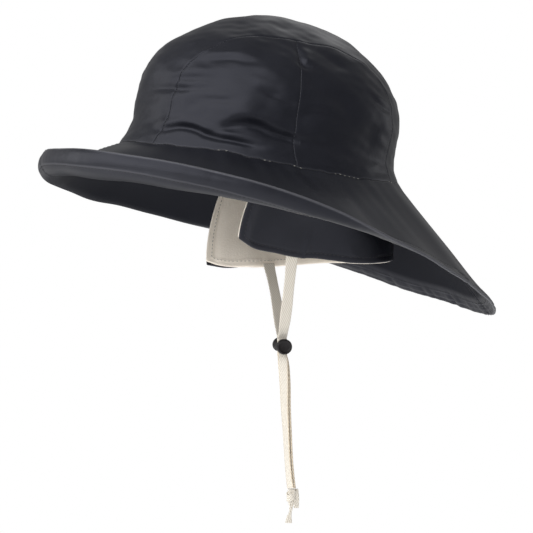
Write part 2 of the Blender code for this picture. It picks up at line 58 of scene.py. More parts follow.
HALVINGS = 44
Curve = Callable[[np.ndarray], np.ndarray]


class Side(Enum):
    """The wearer's side that a piece is on, as the sign of its X."""

    LEFT = 1
    RIGHT = -1

    @property
    def word(self) -> str:
        """The side's name, as the nodes have it."""
        return self.name.lower()


class Face(Enum):
    """The face of a cloth that a line lies on."""

    OUTER = 0
    INNER = 1


# How the hat sits on the head.
PITCH = math.radians(8.2)

# Crown: half-lengths to the front, back and side at each height above the level head opening.
CROWN_SQUARENESS = 2.1
CROWN_TOP = 110.3
CROWN_ROWS = (
    # height, front, back, side
    (-14.0, 109.5, 110.4, 86.6),
    (-9.0, 108.0, 108.8, 85.2),
    (0.0, 105.3, 105.6, 83.4),
    (8.0, 101.9, 102.0, 81.6),
    (17.0, 99.3, 101.2, 80.6),
    (28.0, 98.8, 102.1, 79.8),
    (40.0, 97.9, 102.3, 77.6),
    (52.0, 96.1, 99.8, 73.8),
    (64.0, 91.1, 95.0, 68.0),
    (75.0, 83.4, 87.0, 60.4),
    (84.0, 72.8, 77.6, 52.4),
    (92.0, 61.2, 67.4, 43.6),
    (99.0, 48.6, 56.2, 34.4),
    (105.0, 33.8, 41.4, 24.0),
    (108.6, 19.6, 25.0, 14.4),
    (CROWN_TOP, 0.0, 0.0, 0.0),
)

# The seam between crown and brim dips at the sides.
SEAM_ROWS = (
    # along, height
    (-112.0, -2.6),
    (-106.0, -3.0),
    (-90.0, -4.8),
    (-68.0, -5.6),
    (-48.0, -5.2),
    (-25.0, -7.2),
    (0.0, -8.4),
    (40.0, -8.7),
    (70.0, -6.7),
    (92.0, -3.1),
    (106.0, 0.8),
    (112.0, 2.0),
)

# The small waver of hand-guided sewing in that seam.
SEAM_WAVER_ROWS = (
    # height, length, phase
    (0.2, 1.9, 0.0),
    (0.26, 3.3, 1.0),
    (0.2, 5.9, 2.0),
)

# Half-width of the centre panel, along it from the front of the brim seam over the top to the back.
PANEL_ROWS = (
    # share, half_width
    (0.0, 48.0),
    (0.06, 49.0),
    (0.1, 48.4),
    (0.2, 48.2),
    (0.27, 49.8),
    (0.36, 48.6),
    (0.46, 50.2),
    (0.55, 49.4),
    (0.61, 45.6),
    (0.67, 43.6),
    (0.73, 41.0),
    (0.79, 43.2),
    (0.88, 46.2),
    (1.0, 51.0),
)

# The upright seam between the front and back side panels, from its foot to its head.
SIDE_SEAM_ROWS = (
    # share, along
    (0.0, 8.2),
    (0.1, 5.0),
    (0.3, 3.9),
    (0.65, 4.8),
    (0.82, 4.6),
    (1.0, 2.5),
)

# Brim: its lowest line is an egg-shaped ring.
BRIM_ROWS = (
    # angle, reach, height, bow, radius, lift, lip, inset
    (0.0, 175.8, -35.2, 3.0, 8.9, 115.0, 2.8, 0.0),
    (15.0, 174.2, -36.8, 3.0, 9.2, 110.0, 3.2, 0.0),
    (30.0, 166.0, -38.6, 3.0, 9.6, 98.0, 4.4, 0.0),
    (45.0, 153.7, -40.2, 2.6, 9.6, 90.0, 4.5, 0.0),
    (60.0, 142.1, -42.0, 2.0, 9.2, 85.0, 3.7, 0.0),
    (75.0, 134.0, -44.0, 1.0, 8.4, 72.0, 3.2, 0.0),
    (90.0, 131.0, -47.0, 0.2, 7.4, 47.0, 3.6, 0.0),
    (105.0, 132.8, -51.1, -0.2, 6.4, 8.0, 4.6, 2.0),
    (120.0, 134.6, -57.0, -0.5, 6.4, -19.0, 6.0, 5.0),
    (135.0, 138.8, -64.8, -0.6, 6.4, -32.0, 7.0, 7.0),
    (150.0, 148.6, -73.0, -0.6, 6.4, -38.0, 8.0, 8.0),
    (165.0, 162.6, -80.6, -0.6, 6.4, -42.0, 8.0, 8.0),
    (180.0, 174.6, -87.0, -0.6, 6.4, -44.0, 8.0, 8.0),
)

# Painted highlight lines of the brim: pale lines along its edge, its hem and the tail's hem band, as light
# on these folds.
BRIM_HIGHLIGHT_ROWS = (
    # distance from the edge, half_width, paleness, only at the tail
    (0.0, 0.5, 0.3, False),
    (10.1, 0.4, 0.15, False),
    (4.4, 0.45, 0.22, True),
)

# Ear flap, hung plumb from the inside of the brim seam.
FLAP_ROWS = (
    # angle, depth, pull, slant
    (83.0, 53.4, 20.0, -18.0),
    (87.0, 58.2, 25.0, -13.0),
    (93.0, 59.6, 30.0, -5.0),
    (100.0, 60.0, 33.0, 0.0),
    (112.0, 58.8, 28.0, 0.0),
    (130.0, 59.4, 15.0, 0.0),
    (150.0, 58.4, 4.0, -0.6),
    (180.0, 57.6, 0.0, -1.2),
    (210.0, 55.8, 4.0, -0.6),
    (230.0, 55.2, 15.0, 0.0),
    (248.0, 59.2, 28.0, 0.0),
    (262.0, 65.2, 33.0, -5.0),
    (269.0, 68.6, 28.0, -14.0),
    (273.3, 67.6, 22.0, -21.0),
)

# How much further down than the outer layer the flap's lining shows.
LINING_ROWS = (
    # angle, longer
    (83.0, -0.9),
    (94.0, -0.7),
    (104.0, -0.3),
    (116.0, 0.1),
    (150.0, 0.4),
    (210.0, 1.0),
    (262.0, 0.8),
    (269.0, -0.4),
    (273.3, -2.2),
)

# Small upright puckers of the flap, each a soft ridge up from the hem.
PUCKER_ROWS = (
    # angle, height, half_width, reach
    (104.5, 1.1, 2.0, 13.0),
    (117.0, 0.4, 3.0, 9.0),
    (91.0, 0.3, 2.4, 8.0),
    (140.0, 0.5, 3.2, 12.0),
    (168.0, 0.5, 3.0, 10.0),
    (206.0, 0.5, 3.4, 12.0),
    (241.0, 0.6, 2.6, 11.0),
    (258.0, 0.4, 2.8, 9.0),
)

# Stretches of the brim seam where its light thread shows, by side, as angles from the front.
BARE_THREAD_ROWS = (
    # side, start, end
    (1, 63.5, 66.5),
    (1, 81.5, 83.5),
    (1, 93.0, 95.5),
    (1, 110.0, 121.0),
    (1, 144.0, 149.0),
    (-1, 40.0, 48.0),
    (-1, 84.0, 90.0),
    (-1, 118.0, 126.0),
)

# Chin tape: its route in metres from the flap through the lock to the knot, as the solids have it.
TAPE_ROWS = (
    # x, y, z, turn in degrees, width, right_y, right_z
    (0.0454, 0.0132, -0.0702, 90.0, 0.0094, 0.0052, -0.0042),
    (0.0426, 0.0135, -0.0750, 90.0, 0.0088, 0.0052, -0.0038),
    (0.0360, 0.0142, -0.0855, 90.0, 0.0080, 0.0050, -0.0026),
    (0.0280, 0.0150, -0.0970, 90.0, 0.0080, 0.0044, -0.0018),
    (0.0200, 0.0158, -0.1082, 90.0, 0.0086, 0.0034, -0.0010),
    (0.0120, 0.0166, -0.1184, 90.0, 0.0084, 0.0018, -0.0004),
    (0.0052, 0.0172, -0.1260, 90.0, 0.0074, 0.0004, 0.0),
    (0.0014, 0.0174, -0.1304, 90.0, 0.0070, 0.0, 0.0),
    (0.0010, 0.0174, -0.1330, 90.0, 0.0070, 0.0, 0.0),
    (0.0010, 0.0174, -0.1385, 90.0, 0.0070, 0.0, 0.0),
    (0.0010, 0.0176, -0.1440, 84.0, 0.0070, 0.0, 0.0),
    (0.0010, 0.0188, -0.1520, 50.0, 0.0082, 0.0, 0.0),
    (0.0010, 0.0198, -0.1660, 32.0, 0.0090, 0.0, 0.0),
    (0.0010, 0.0204, -0.1840, 20.0, 0.0094, 0.0, 0.0),
    (0.0010, 0.0216, -0.2040, 13.0, 0.0094, 0.0, 0.0),
    (0.0010, 0.0226, -0.2220, 12.0, 0.0090, 0.0, 0.0),
    (0.0010, 0.0238, -0.2360, 20.0, 0.0076, 0.0, 0.0),
    (0.0010, 0.0248, -0.2440, 34.0, 0.0064, 0.0, 0.0),
)


@dataclass(frozen=True)
class Crease:
    """A fold of the crown: a valley along a path of its side view, with a soft ridge on its upper side.

    Sizes are in millimetres: the width is the valley's half-width, and the ridge is a share of the depth.
    """

    side: int
    width: float
    depth: float
    ridge: float
    path: tuple[tuple[float, float], ...]


# Folds of the crown, by side, with places as (along, height) above the level head opening.
CREASES = (
    Crease(1, 2.7, 1.5, 0.4, ((-84.0, 43.6), (-68.0, 45.0), (-52.0, 46.0))),
    Crease(1, 3.0, 2.0, 0.35, ((-92.0, 37.4), (-75.0, 37.0), (-56.0, 38.8))),
    Crease(1, 4.2, 1.0, 0.2, ((-73.0, 25.0), (-68.6, 25.7), (-63.0, 27.0))),
    Crease(1, 2.3, 2.4, 0.5, ((-84.0, 5.4), (-74.0, 8.6), (-65.0, 8.2), (-56.0, 4.8), (-46.0, 3.0))),
    Crease(1, 2.2, 2.0, 0.45, ((-48.0, 3.4), (-36.8, 2.7), (-22.0, 1.4))),
    Crease(1, 3.8, 3.2, 0.35, (
        (-48.0, 9.6), (-36.0, 14.6), (-24.0, 15.2), (-12.6, 12.5), (2.0, 10.4), (9.0, 9.8))),
    Crease(1, 2.8, 1.4, 0.35, ((-26.0, 43.4), (-15.0, 40.0), (-3.8, 36.9), (3.0, 35.4))),
    Crease(1, 2.4, 1.1, 0.4, ((-66.0, 31.0), (-52.0, 30.4), (-40.0, 31.6))),
    Crease(1, 2.6, 1.2, 0.4, ((8.0, 30.0), (20.0, 33.0), (33.0, 31.0))),
    Crease(1, 2.6, 1.3, 0.4, ((60.0, 54.0), (70.0, 50.0), (82.0, 47.0))),
    Crease(1, 2.4, 1.2, 0.4, ((-60.0, 60.0), (-48.0, 62.6), (-34.0, 62.0))),
    Crease(1, 3.0, 1.9, 0.35, ((2.6, 80.0), (6.3, 68.0), (14.0, 65.6))),
    Crease(1, 5.0, 1.4, 0.3, ((17.0, 81.0), (28.0, 76.0), (41.0, 71.0))),
    Crease(1, 9.0, 1.8, 0.0, ((70.0, 34.0), (66.0, 20.0), (74.0, 6.0))),
    Crease(1, 6.0, 1.2, 0.2, ((22.0, 52.0), (38.0, 44.0), (52.0, 30.0))),
    Crease(1, 5.0, 1.0, 0.3, ((14.0, 8.0), (30.0, 12.0), (46.0, 6.0))),
    Crease(-1, 3.2, 1.8, 0.4, ((-86.0, 30.0), (-70.0, 33.0), (-54.0, 31.0))),
    Crease(-1, 4.0, 2.6, 0.35, ((-70.0, 8.0), (-50.0, 12.0), (-30.0, 9.0), (-14.0, 3.0))),
    Crease(-1, 4.4, 1.9, 0.3, ((2.0, 52.0), (20.0, 42.0), (38.0, 34.0))),
    Crease(-1, 3.4, 2.1, 0.4, ((46.0, 10.0), (62.0, 14.0), (84.0, 18.0))),
    Crease(-1, 4.6, 1.4, 0.3, ((-30.0, 78.0), (-12.0, 72.0), (4.0, 74.0))),
    Crease(-1, 6.0, 1.4, 0.2, ((-40.0, 56.0), (-56.0, 48.0), (-70.0, 52.0))),
)

# Soft round dents of the crown, level.
DENT_ROWS = (
    # x, along, height, radius, depth
    (0.0, -75.6, 84.0, 11.0, 0.7),
    (-28.0, -62.0, 90.0, 14.0, 1.4),
    (34.0, -36.0, 99.0, 13.0, 1.3),
    (38.0, -6.0, 102.0, 12.0, 1.1),
    (-26.0, 12.0, 106.0, 16.0, 1.2),
    (32.0, 34.0, 98.0, 13.0, 1.4),
    (-24.0, 78.0, 72.0, 16.0, 1.4),
    (-30.0, 92.0, 34.0, 18.0, 1.2),
    (28.0, 96.0, 26.0, 16.0, 1.2),
    (30.0, -94.0, 34.0, 18.0, 1.2),
    (-26.0, -96.0, 22.0, 16.0, 1.4),
    (10.0, -98.0, 14.0, 14.0, 1.0),
    (74.0, -10.0, 58.0, 17.0, -0.9),
    (66.0, 10.0, 73.0, 6.0, -0.5),
    (45.0, 57.0, 81.0, 8.0, -0.9),
    (78.0, -38.0, 28.0, 15.0, -1.2),
    (70.0, 46.0, 30.0, 20.0, 1.2),
)


def smooth_curve(rows: Sequence[Sequence[float]], column: int, flat_ends: bool = False) -> Curve:
    """A smooth function through one column of a table whose first column is the place.

    Args:
        rows: the table.
        column: the column that the function follows.
        flat_ends: whether the function is level at both ends.

    Returns:
        A function from places to values.
    """
    places = np.array([row[0] for row in rows], dtype=float)
    values = np.array([row[column] for row in rows], dtype=float)
    slopes = np.gradient(values, places)
    if flat_ends:
        slopes[0] = slopes[-1] = 0.0

    def value_at(place: np.ndarray) -> np.ndarray:
        """The curve's value at these places."""
        place = np.clip(place, places[0], places[-1])
        index = np.clip(np.searchsorted(places, place) - 1, 0, len(places) - 2)
        span = places[index + 1] - places[index]
        share = (place - places[index]) / span
        square, cube = share**2, share**3
        return (
            values[index] * (2 * cube - 3 * square + 1)
            + slopes[index] * span * (cube - 2 * square + share)
            + values[index + 1] * (3 * square - 2 * cube)
            + slopes[index + 1] * span * (cube - square)
        )

    return value_at


def squared(rows: Sequence[Sequence[float]]) -> list[tuple[float, ...]]:
    """The table with its half-lengths squared, because a dome's squared reach runs straight to its top."""
    return [(row[0],) + tuple(value * value for value in row[1:]) for row in rows]


def pitched(points: np.ndarray) -> np.ndarray:
    """Level places turned to where the worn hat has them."""
    turned = points.copy()
    cos, sin = math.cos(PITCH), math.sin(PITCH)
    turned[..., 1] = points[..., 1] * cos + points[..., 2] * sin
    turned[..., 2] = points[..., 2] * cos - points[..., 1] * sin
    return turned


def closer_at_ends(count: int, gain: float = 0.6) -> np.ndarray:
    """Shares from 0 to 1 that lie closer together at both ends.

    Args:
        count: how many shares.
        gain: how much closer, from 0 to below 1.

    Returns:
        The shares, in order.
    """
    even = np.linspace(0.0, 1.0, count)
    return even - gain * np.sin(TURN * even) / TURN


def unit(vectors: np.ndarray) -> np.ndarray:
    """The vectors with a length of one."""
    return vectors / np.maximum(np.linalg.norm(vectors, axis=-1, keepdims=True), SMALL**2)


def grid_normals(grid: np.ndarray) -> np.ndarray:
    """Unit normals of a grid of points, on its outer side."""
    return unit(np.cross(np.gradient(grid, axis=1), np.gradient(grid, axis=0)))


def hump(distance: np.ndarray, half_width: float, power: float = 2.0) -> np.ndarray:
    """A soft hump, one high, round the places where the distance is nought."""
    return np.exp(-(np.abs(distance / half_width) ** power))


def soft_step(distance: np.ndarray, softness: float) -> np.ndarray:
    """One well before distance nought, nothing well past it."""
    return 1.0 / (1.0 + np.exp(distance / softness))


def ripple(run: np.ndarray, seed: int, lengths: tuple[float, float], count: int) -> np.ndarray:
    """Uneven waves along a seam.

    Args:
        run: place along the seam in millimetres.
        seed: seed of the random numbers.
        lengths: shortest and longest wavelength in millimetres.
        count: how many waves.

    Returns:
        The waves' sum, in which each is one high.
    """
    rng = np.random.default_rng(seed)
    waves = zip(rng.uniform(*lengths, count), rng.uniform(0.0, 6.28, count))
    return sum(np.sin(TURN * run / length + phase) for length, phase in waves)


def run_along(grid: np.ndarray, axis: int) -> np.ndarray:
    """Length along a grid's rows or columns, from their start to each point."""
    steps = np.linalg.norm(np.diff(grid, axis=axis), axis=-1)
    start = np.zeros_like(np.take(steps, [0], axis=axis))
    return np.cumsum(np.concatenate((start, steps), axis=axis), axis=axis)


class Waves:
    """Soft unevenness of hand-laid cloth, as a sum of a few seeded plane waves."""

    def __init__(self, seed: int, shortest: float, longest: float, height: float, count: int = 18,
                 level: float = 1.0) -> None:
        """Draw the waves.

        Args:
            seed: seed of the random numbers.
            shortest: shortest wavelength in millimetres.
            longest: longest wavelength in millimetres.
            height: about how high the unevenness stands, in millimetres.
            count: how many waves.
            level: below one for waves that run level rather than every way.
        """
        rng = np.random.default_rng(seed)
        lengths = shortest * (longest / shortest) ** rng.random(count)
        directions = unit(rng.normal(size=(count, 3)) * (level, level, 1.0))
        self.numbers = directions * (TURN / lengths)[:, None]
        self.phases = rng.random(count) * TURN
        weights = lengths / lengths.mean()
        self.heights = height * weights / np.sqrt((weights**2).sum() / 2.0)

    def at(self, points: np.ndarray) -> np.ndarray:
        """Height of the unevenness at an array of points."""
        total = np.zeros(points.shape[:-1])
        for number, phase, height in zip(self.numbers, self.phases, self.heights):
            total += height * np.sin(points @ number + phase)
        return total


def sample(values: np.ndarray, rows: np.ndarray, columns: np.ndarray) -> np.ndarray:
    """Values of a grid at places between its points.

    Args:
        values: the grid, with one number or one vector at each point.
        rows: places along the rows, counted in points.
        columns: places along the columns, counted in points.

    Returns:
        A value for each place.
    """
    rows, columns = np.broadcast_arrays(np.asarray(rows, dtype=float), np.asarray(columns, dtype=float))
    first_row = np.clip(np.floor(rows).astype(int), 0, values.shape[0] - 2)
    first_column = np.clip(np.floor(columns).astype(int), 0, values.shape[1] - 2)
    down, right = rows - first_row, columns - first_column
    if values.ndim == 3:
        down, right = down[..., None], right[..., None]

    def along_row(row: np.ndarray) -> np.ndarray:
        """Values on one row at the places."""
        return values[row, first_column] * (1 - right) + values[row, first_column + 1] * right

    return along_row(first_row) * (1 - down) + along_row(first_row + 1) * down


def cloth_mesh(name: str, outer: np.ndarray, wall: np.ndarray | float, bulge: float = 0.42,
               painted_highlight: np.ndarray | float = 0.0, matt: np.ndarray | float = 1.0,
               end_x: float | None = None) -> bpy.types.Mesh:
    """A closed cloth piece with soft edges, from its outer face.

    Args:
        name: the mesh's name.
        outer: grid of points of the outer face, in millimetres.
        wall: the cloth's thickness, one number or one for each point.
        bulge: how far the border stands out, as a share of the wall.
        painted_highlight: how much paler the coat is painted at each point, from 0 to 1, as highlight on
            folds and lines; kept as a point attribute.
        matt: how matt the inner face is at each point, from 0 to 1, kept as the attribute "matt".
        end_x: the x that the first and last rows' borders reach, where the piece meets its mirror image.

    Returns:
        A mesh in metres with its faces outward.
    """
    rows, columns = outer.shape[:2]
    wall = np.broadcast_to(np.asarray(wall, dtype=float), (rows, columns))[..., None]
    inner = outer - grid_normals(outer) * wall
    middle = 0.5 * (outer + inner)

    def edge(line: tuple, before: tuple) -> np.ndarray:
        """Middle of a border, bulged out."""
        return middle[line] + unit(outer[line] - outer[before]) * wall[line] * bulge

    every = slice(None)
    last, first = edge((every, -1), (every, -2)), edge((every, 0), (every, 1))
    rings = np.concatenate((outer, last[:, None], inner[:, ::-1], first[:, None]), axis=1)
    around = rings.shape[1]
    points = rings.reshape(-1, 3)
    row, step = np.meshgrid(np.arange(rows - 1), np.arange(around), indexing="ij")
    after = (step + 1) % around
    faces = np.stack((row * around + step, row * around + after, (row + 1) * around + after,
                      (row + 1) * around + step), axis=-1).reshape(-1, 4).tolist()
    extra = []
    for base_row, ending in ((0, edge((0, every), (1, every))), (rows - 1, edge((-1, every), (-2, every)))):
        start = len(points) + sum(len(part) for part in extra)
        if end_x is not None:
            ending[:, 0] = end_x
        extra.append(ending)
        top = base_row * around
        for column in range(columns - 1):
            near, far = top + column, top + column + 1
            below_near, below_far = top + 2 * columns - column, top + 2 * columns - column - 1
            faces.append((near, far, start + column + 1, start + column))
            faces.append((start + column, start + column + 1, below_far, below_near))
        faces.append((top + columns - 1, top + columns, start + columns - 1))
        faces.append((start + columns - 1, top + columns, top + columns + 1))
        faces.append((top, start, top + around - 1))
        faces.append((start, top + 2 * columns, top + around - 1))
    points = np.concatenate([points, *extra])
    mesh = closed_mesh(name, points * MM, faces)
    painted_highlight, matt = (np.broadcast_to(np.asarray(share, dtype=float), (rows, columns)) for share in (painted_highlight, matt))
    outside = np.zeros((rows, columns + 1))
    for kind, ring, ends in (
        ("painted_highlight", (painted_highlight, painted_highlight[:, -1:], painted_highlight[:, ::-1], painted_highlight[:, :1]), (painted_highlight[0], painted_highlight[-1])),
        ("matt", (outside, matt[:, ::-1], outside[:, :1]), (outside[0, 1:], outside[0, 1:])),
    ):
        values = np.concatenate((np.concatenate(ring, axis=1).ravel(), *ends))
        mesh.attributes.new(kind, "FLOAT", "POINT").data.foreach_set("value", values)
    return mesh


def closed_mesh(name: str, points: np.ndarray, faces: Sequence[Sequence[int]]) -> bpy.types.Mesh:
    """A smooth-shaded mesh with its faces turned outward.

    Args:
        name: the mesh's name.
        points: its vertices in metres.
        faces: its faces as indices of the vertices.

    Returns:
        The mesh.
    """
    mesh = bpy.data.meshes.new(name)
    mesh.from_pydata(np.asarray(points).tolist(), [], [list(face) for face in faces])
    build = bmesh.new()
    build.from_mesh(mesh)
    bmesh.ops.recalc_face_normals(build, faces=build.faces)
    build.to_mesh(mesh)
    build.free()
    mesh.shade_smooth()
    return mesh


def place(name: str, mesh: bpy.types.Mesh, material: bpy.types.Material, slot: str,
          nodes: Sequence[str] = ()) -> bpy.types.Object:
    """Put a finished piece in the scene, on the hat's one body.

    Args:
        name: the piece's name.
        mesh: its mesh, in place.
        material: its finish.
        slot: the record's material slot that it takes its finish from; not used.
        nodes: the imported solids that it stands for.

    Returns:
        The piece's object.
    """
    mesh.materials.clear()
    mesh.materials.append(material)
    piece = bpy.data.objects.new(name, mesh)
    bpy.context.scene.collection.objects.link(piece)
    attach(piece, BODY)
    if nodes:
        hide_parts(*nodes)
    log.info("%s: %d faces", name, len(mesh.polygons))
    return piece


def linear_colour(hex_colour: str) -> tuple[float, float, float, float]:
    """An sRGB hex colour as the linear colour that a shader takes.

    Args:
        hex_colour: the colour, such as "#202124".

    Returns:
        Red, green, blue and one for the alpha.
    """
    shares = (int(hex_colour[start:start + 2], 16) / 255.0 for start in (1, 3, 5))
    linear = (share / 12.92 if share <= 0.04045 else ((share + 0.055) / 1.055) ** 2.4 for share in shares)
    return (*linear, 1.0)


def set_values(node: bpy.types.Node, values: dict) -> None:
    """Set constant values on a node's inputs, by their name or number."""
    for socket, value in values.items():
        node.inputs[socket].default_value = value


def add_node(tree: bpy.types.NodeTree, kind: str, settings: dict | None = None,
             values: dict | None = None, links: dict | None = None) -> bpy.types.Node:
    """Add a node with its settings, its sockets' values and its links.

    Args:
        tree: the node tree.
        kind: the node's type.
        settings: properties of the node by name.
        values: constant values by input name or number.
        links: outputs by the name or number of the input that they feed.

    Returns:
        The new node.
    """
    node = tree.nodes.new(kind)
    for name, value in (settings or {}).items():
        setattr(node, name, value)
    set_values(node, values or {})
    for socket, output in (links or {}).items():
        tree.links.new(output, node.inputs[socket])
    return node


def blank_material(name: str) -> tuple[bpy.types.Material, bpy.types.NodeTree, bpy.types.Node]:
    """A new material, its node tree and its shader node."""
    material = bpy.data.materials.new(name)
    material.use_nodes = True
    return material, material.node_tree, material.node_tree.nodes["Principled BSDF"]


@dataclass(frozen=True)
class CoatedCloth:
    """Polyurethane-coated cotton: a smooth near-black skin with a soft broad sheen over a faint weave."""

    name: str = "polyurethane_coated_cloth"
    colour: str = "#121318"
    cloudy_colour: str = "#1a1b21"
    # Pale grey painted onto the coat as highlight, on folded edges, hem lines, seams and the brim's front
    # band.
    highlight_paint_colour: str = "#85858b"
    sheen_colour: str = "#e0e2f2"
    roughness: float = 0.37
    roughness_spread: float = 0.06
    specular_level: float = 0.3
    matt_rougher: float = 0.25
    matt_specular_level: float = 0.1
    grain: float = 1.3
    grain_height: float = 0.06
    cloud: float = 30.0

    def material(self) -> bpy.types.Material:
        """The finish as nodes: a cloudy sheen, a fine grain, and a pale grey painted on folded edges and
        lines as highlight.
        """
        material, tree, shader = blank_material(self.name)
        place_on = add_node(tree, "ShaderNodeTexCoord").outputs["Object"]
        clouds = add_node(tree, "ShaderNodeTexNoise", links={"Vector": place_on},
                          values={"Scale": 1.0 / (self.cloud * MM), "Detail": 4.0}).outputs["Fac"]
        grain = add_node(tree, "ShaderNodeTexNoise",
                         values={"Scale": 1.0 / (self.grain * MM), "Detail": 3.0, "Roughness": 0.6},
                         links={"Vector": place_on}).outputs["Fac"]
        painted_highlight, matt = (add_node(tree, "ShaderNodeAttribute", settings={"attribute_name": kind}).outputs["Fac"]
                      for kind in ("painted_highlight", "matt"))
        tint = add_node(tree, "ShaderNodeMix", settings={"data_type": "RGBA"}, links={"Factor": clouds},
                        values={6: linear_colour(self.colour), 7: linear_colour(self.cloudy_colour)})
        # Painted highlight: the coat's colour is mixed toward the pale grey by the point attribute.
        coat = add_node(tree, "ShaderNodeMix", settings={"data_type": "RGBA"},
                        values={7: linear_colour(self.highlight_paint_colour)},
                        links={"Factor": painted_highlight, 6: tint.outputs[2]})
        tree.links.new(coat.outputs[2], shader.inputs["Base Color"])
        rough = add_node(tree, "ShaderNodeMapRange", links={"Value": clouds},
                         values={"To Min": self.roughness - self.roughness_spread,
                                 "To Max": self.roughness + self.roughness_spread})
        rougher = add_node(tree, "ShaderNodeMath", settings={"operation": "MULTIPLY_ADD"},
                           values={1: self.matt_rougher}, links={0: matt, 2: rough.outputs["Result"]})
        tree.links.new(rougher.outputs["Value"], shader.inputs["Roughness"])
        gloss = add_node(tree, "ShaderNodeMapRange", links={"Value": matt},
                         values={"To Min": self.specular_level, "To Max": self.matt_specular_level})
        tree.links.new(gloss.outputs["Result"], shader.inputs["Specular IOR Level"])
        bump = add_node(tree, "ShaderNodeBump", links={"Height": grain},
                        values={"Strength": 0.6, "Distance": self.grain_height * MM})
        tree.links.new(bump.outputs["Normal"], shader.inputs["Normal"])
        set_values(shader, {"Specular Tint": linear_colour(self.sheen_colour)})
        return material


@dataclass(frozen=True)
class Flannel:
    """Brushed cotton flannel: cream, matt and fuzzy, with the nap lifting in small clumps."""

    name: str = "brushed_cotton_flannel"
    colour: str = "#fbf3e7"
    nap_shade_colour: str = "#f0e4d3"
    nap: float = 1.4
    nap_height: float = 0.22

    def material(self) -> bpy.types.Material:
        """The finish as nodes: clumps of nap in height, a darker cream painted where the nap is low as
        shade, and a soft sheen.
        """
        material, tree, shader = blank_material(self.name)
        place_on = add_node(tree, "ShaderNodeTexCoord").outputs["Object"]
        nap = add_node(tree, "ShaderNodeTexNoise",
                       values={"Scale": 1.0 / (self.nap * MM), "Detail": 5.0, "Roughness": 0.65},
                       links={"Vector": place_on})
        # Painted shade: the darker cream goes where the nap's bump is low.
        tint = add_node(tree, "ShaderNodeMix", settings={"data_type": "RGBA"},
                        values={6: linear_colour(self.nap_shade_colour), 7: linear_colour(self.colour)},
                        links={"Factor": nap.outputs["Fac"]})
        tree.links.new(tint.outputs[2], shader.inputs["Base Color"])
        bump = add_node(tree, "ShaderNodeBump", values={"Strength": 0.7, "Distance": self.nap_height * MM},
                        links={"Height": nap.outputs["Fac"]})
        tree.links.new(bump.outputs["Normal"], shader.inputs["Normal"])
        set_values(shader, {"Roughness": 0.95, "Sheen Weight": 0.25, "Sheen Roughness": 0.6})
        return material


@dataclass(frozen=True)
class TwillTape:
    """Woven cotton twill tape: cream, with slanted ribs."""

    name: str = "cotton_twill_tape"
    colour: str = "#e4dfd6"
    groove_shade_colour: str = "#cdc4b4"
    # Ochre painted along the edges below the lock: painted shade and warm bounce where the two tapes
    # overlap.
    edge_shade_colour: str = "#cfae78"
    rib: float = 1.5
    rib_height: float = 0.1
    edge: tuple[float, float] = (3.2, 4.6)
    edge_shade_from: tuple[float, float] = (76.0, 84.0)
    edge_shade_most: float = 0.4
    rib_angle: float = math.radians(28.0)

    def material(self) -> bpy.types.Material:
        """The finish as nodes: slanted ribs, and an ochre shade painted along the edges below the lock, as
        the shade and warm bounce where the tapes lie together.
        """
        material, tree, shader = blank_material(self.name)
        along = add_node(tree, "ShaderNodeUVMap", settings={"uv_map": "tape"}).outputs["UV"]
        turned = add_node(tree, "ShaderNodeMapping", values={"Rotation": (0.0, 0.0, self.rib_angle)},
                          links={"Vector": along})
        ribs = add_node(tree, "ShaderNodeTexWave", settings={"bands_direction": "X"},
                        values={"Scale": math.pi / (10.0 * self.rib * MM), "Distortion": 0.6},
                        links={"Vector": turned.outputs["Vector"]})
        # The darker cream goes where the ribs' bump is low: painted shade in the grooves.
        tint = add_node(tree, "ShaderNodeMix", settings={"data_type": "RGBA"},
                        values={6: linear_colour(self.groove_shade_colour), 7: linear_colour(self.colour)},
                        links={"Factor": ribs.outputs["Fac"]})
        split = add_node(tree, "ShaderNodeSeparateXYZ", links={"Vector": along})
        off = add_node(tree, "ShaderNodeMath", settings={"operation": "ABSOLUTE"},
                       links={0: split.outputs["X"]})
        # Painted shade: from here the edges below the lock are mixed toward ochre.
        near_edge, below = (
            add_node(tree, "ShaderNodeMapRange", links={"Value": place},
                     values={"From Min": start * MM, "From Max": end * MM, "To Max": most}).outputs["Result"]
            for place, (start, end), most in ((off.outputs["Value"], self.edge, self.edge_shade_most),
                                              (split.outputs["Y"], self.edge_shade_from, 1.0)))
        share = add_node(tree, "ShaderNodeMath", settings={"operation": "MULTIPLY"},
                         links={0: near_edge, 1: below})
        painted_edge_shade = add_node(tree, "ShaderNodeMix", settings={"data_type": "RGBA"},
                           values={7: linear_colour(self.edge_shade_colour)},
                           links={"Factor": share.outputs["Value"], 6: tint.outputs[2]})
        tree.links.new(painted_edge_shade.outputs[2], shader.inputs["Base Color"])
        bump = add_node(tree, "ShaderNodeBump", values={"Strength": 0.25, "Distance": self.rib_height * MM},
                        links={"Height": ribs.outputs["Fac"]})
        tree.links.new(bump.outputs["Normal"], shader.inputs["Normal"])
        set_values(shader, {"Roughness": 0.9, "Sheen Weight": 0.15})
        return material


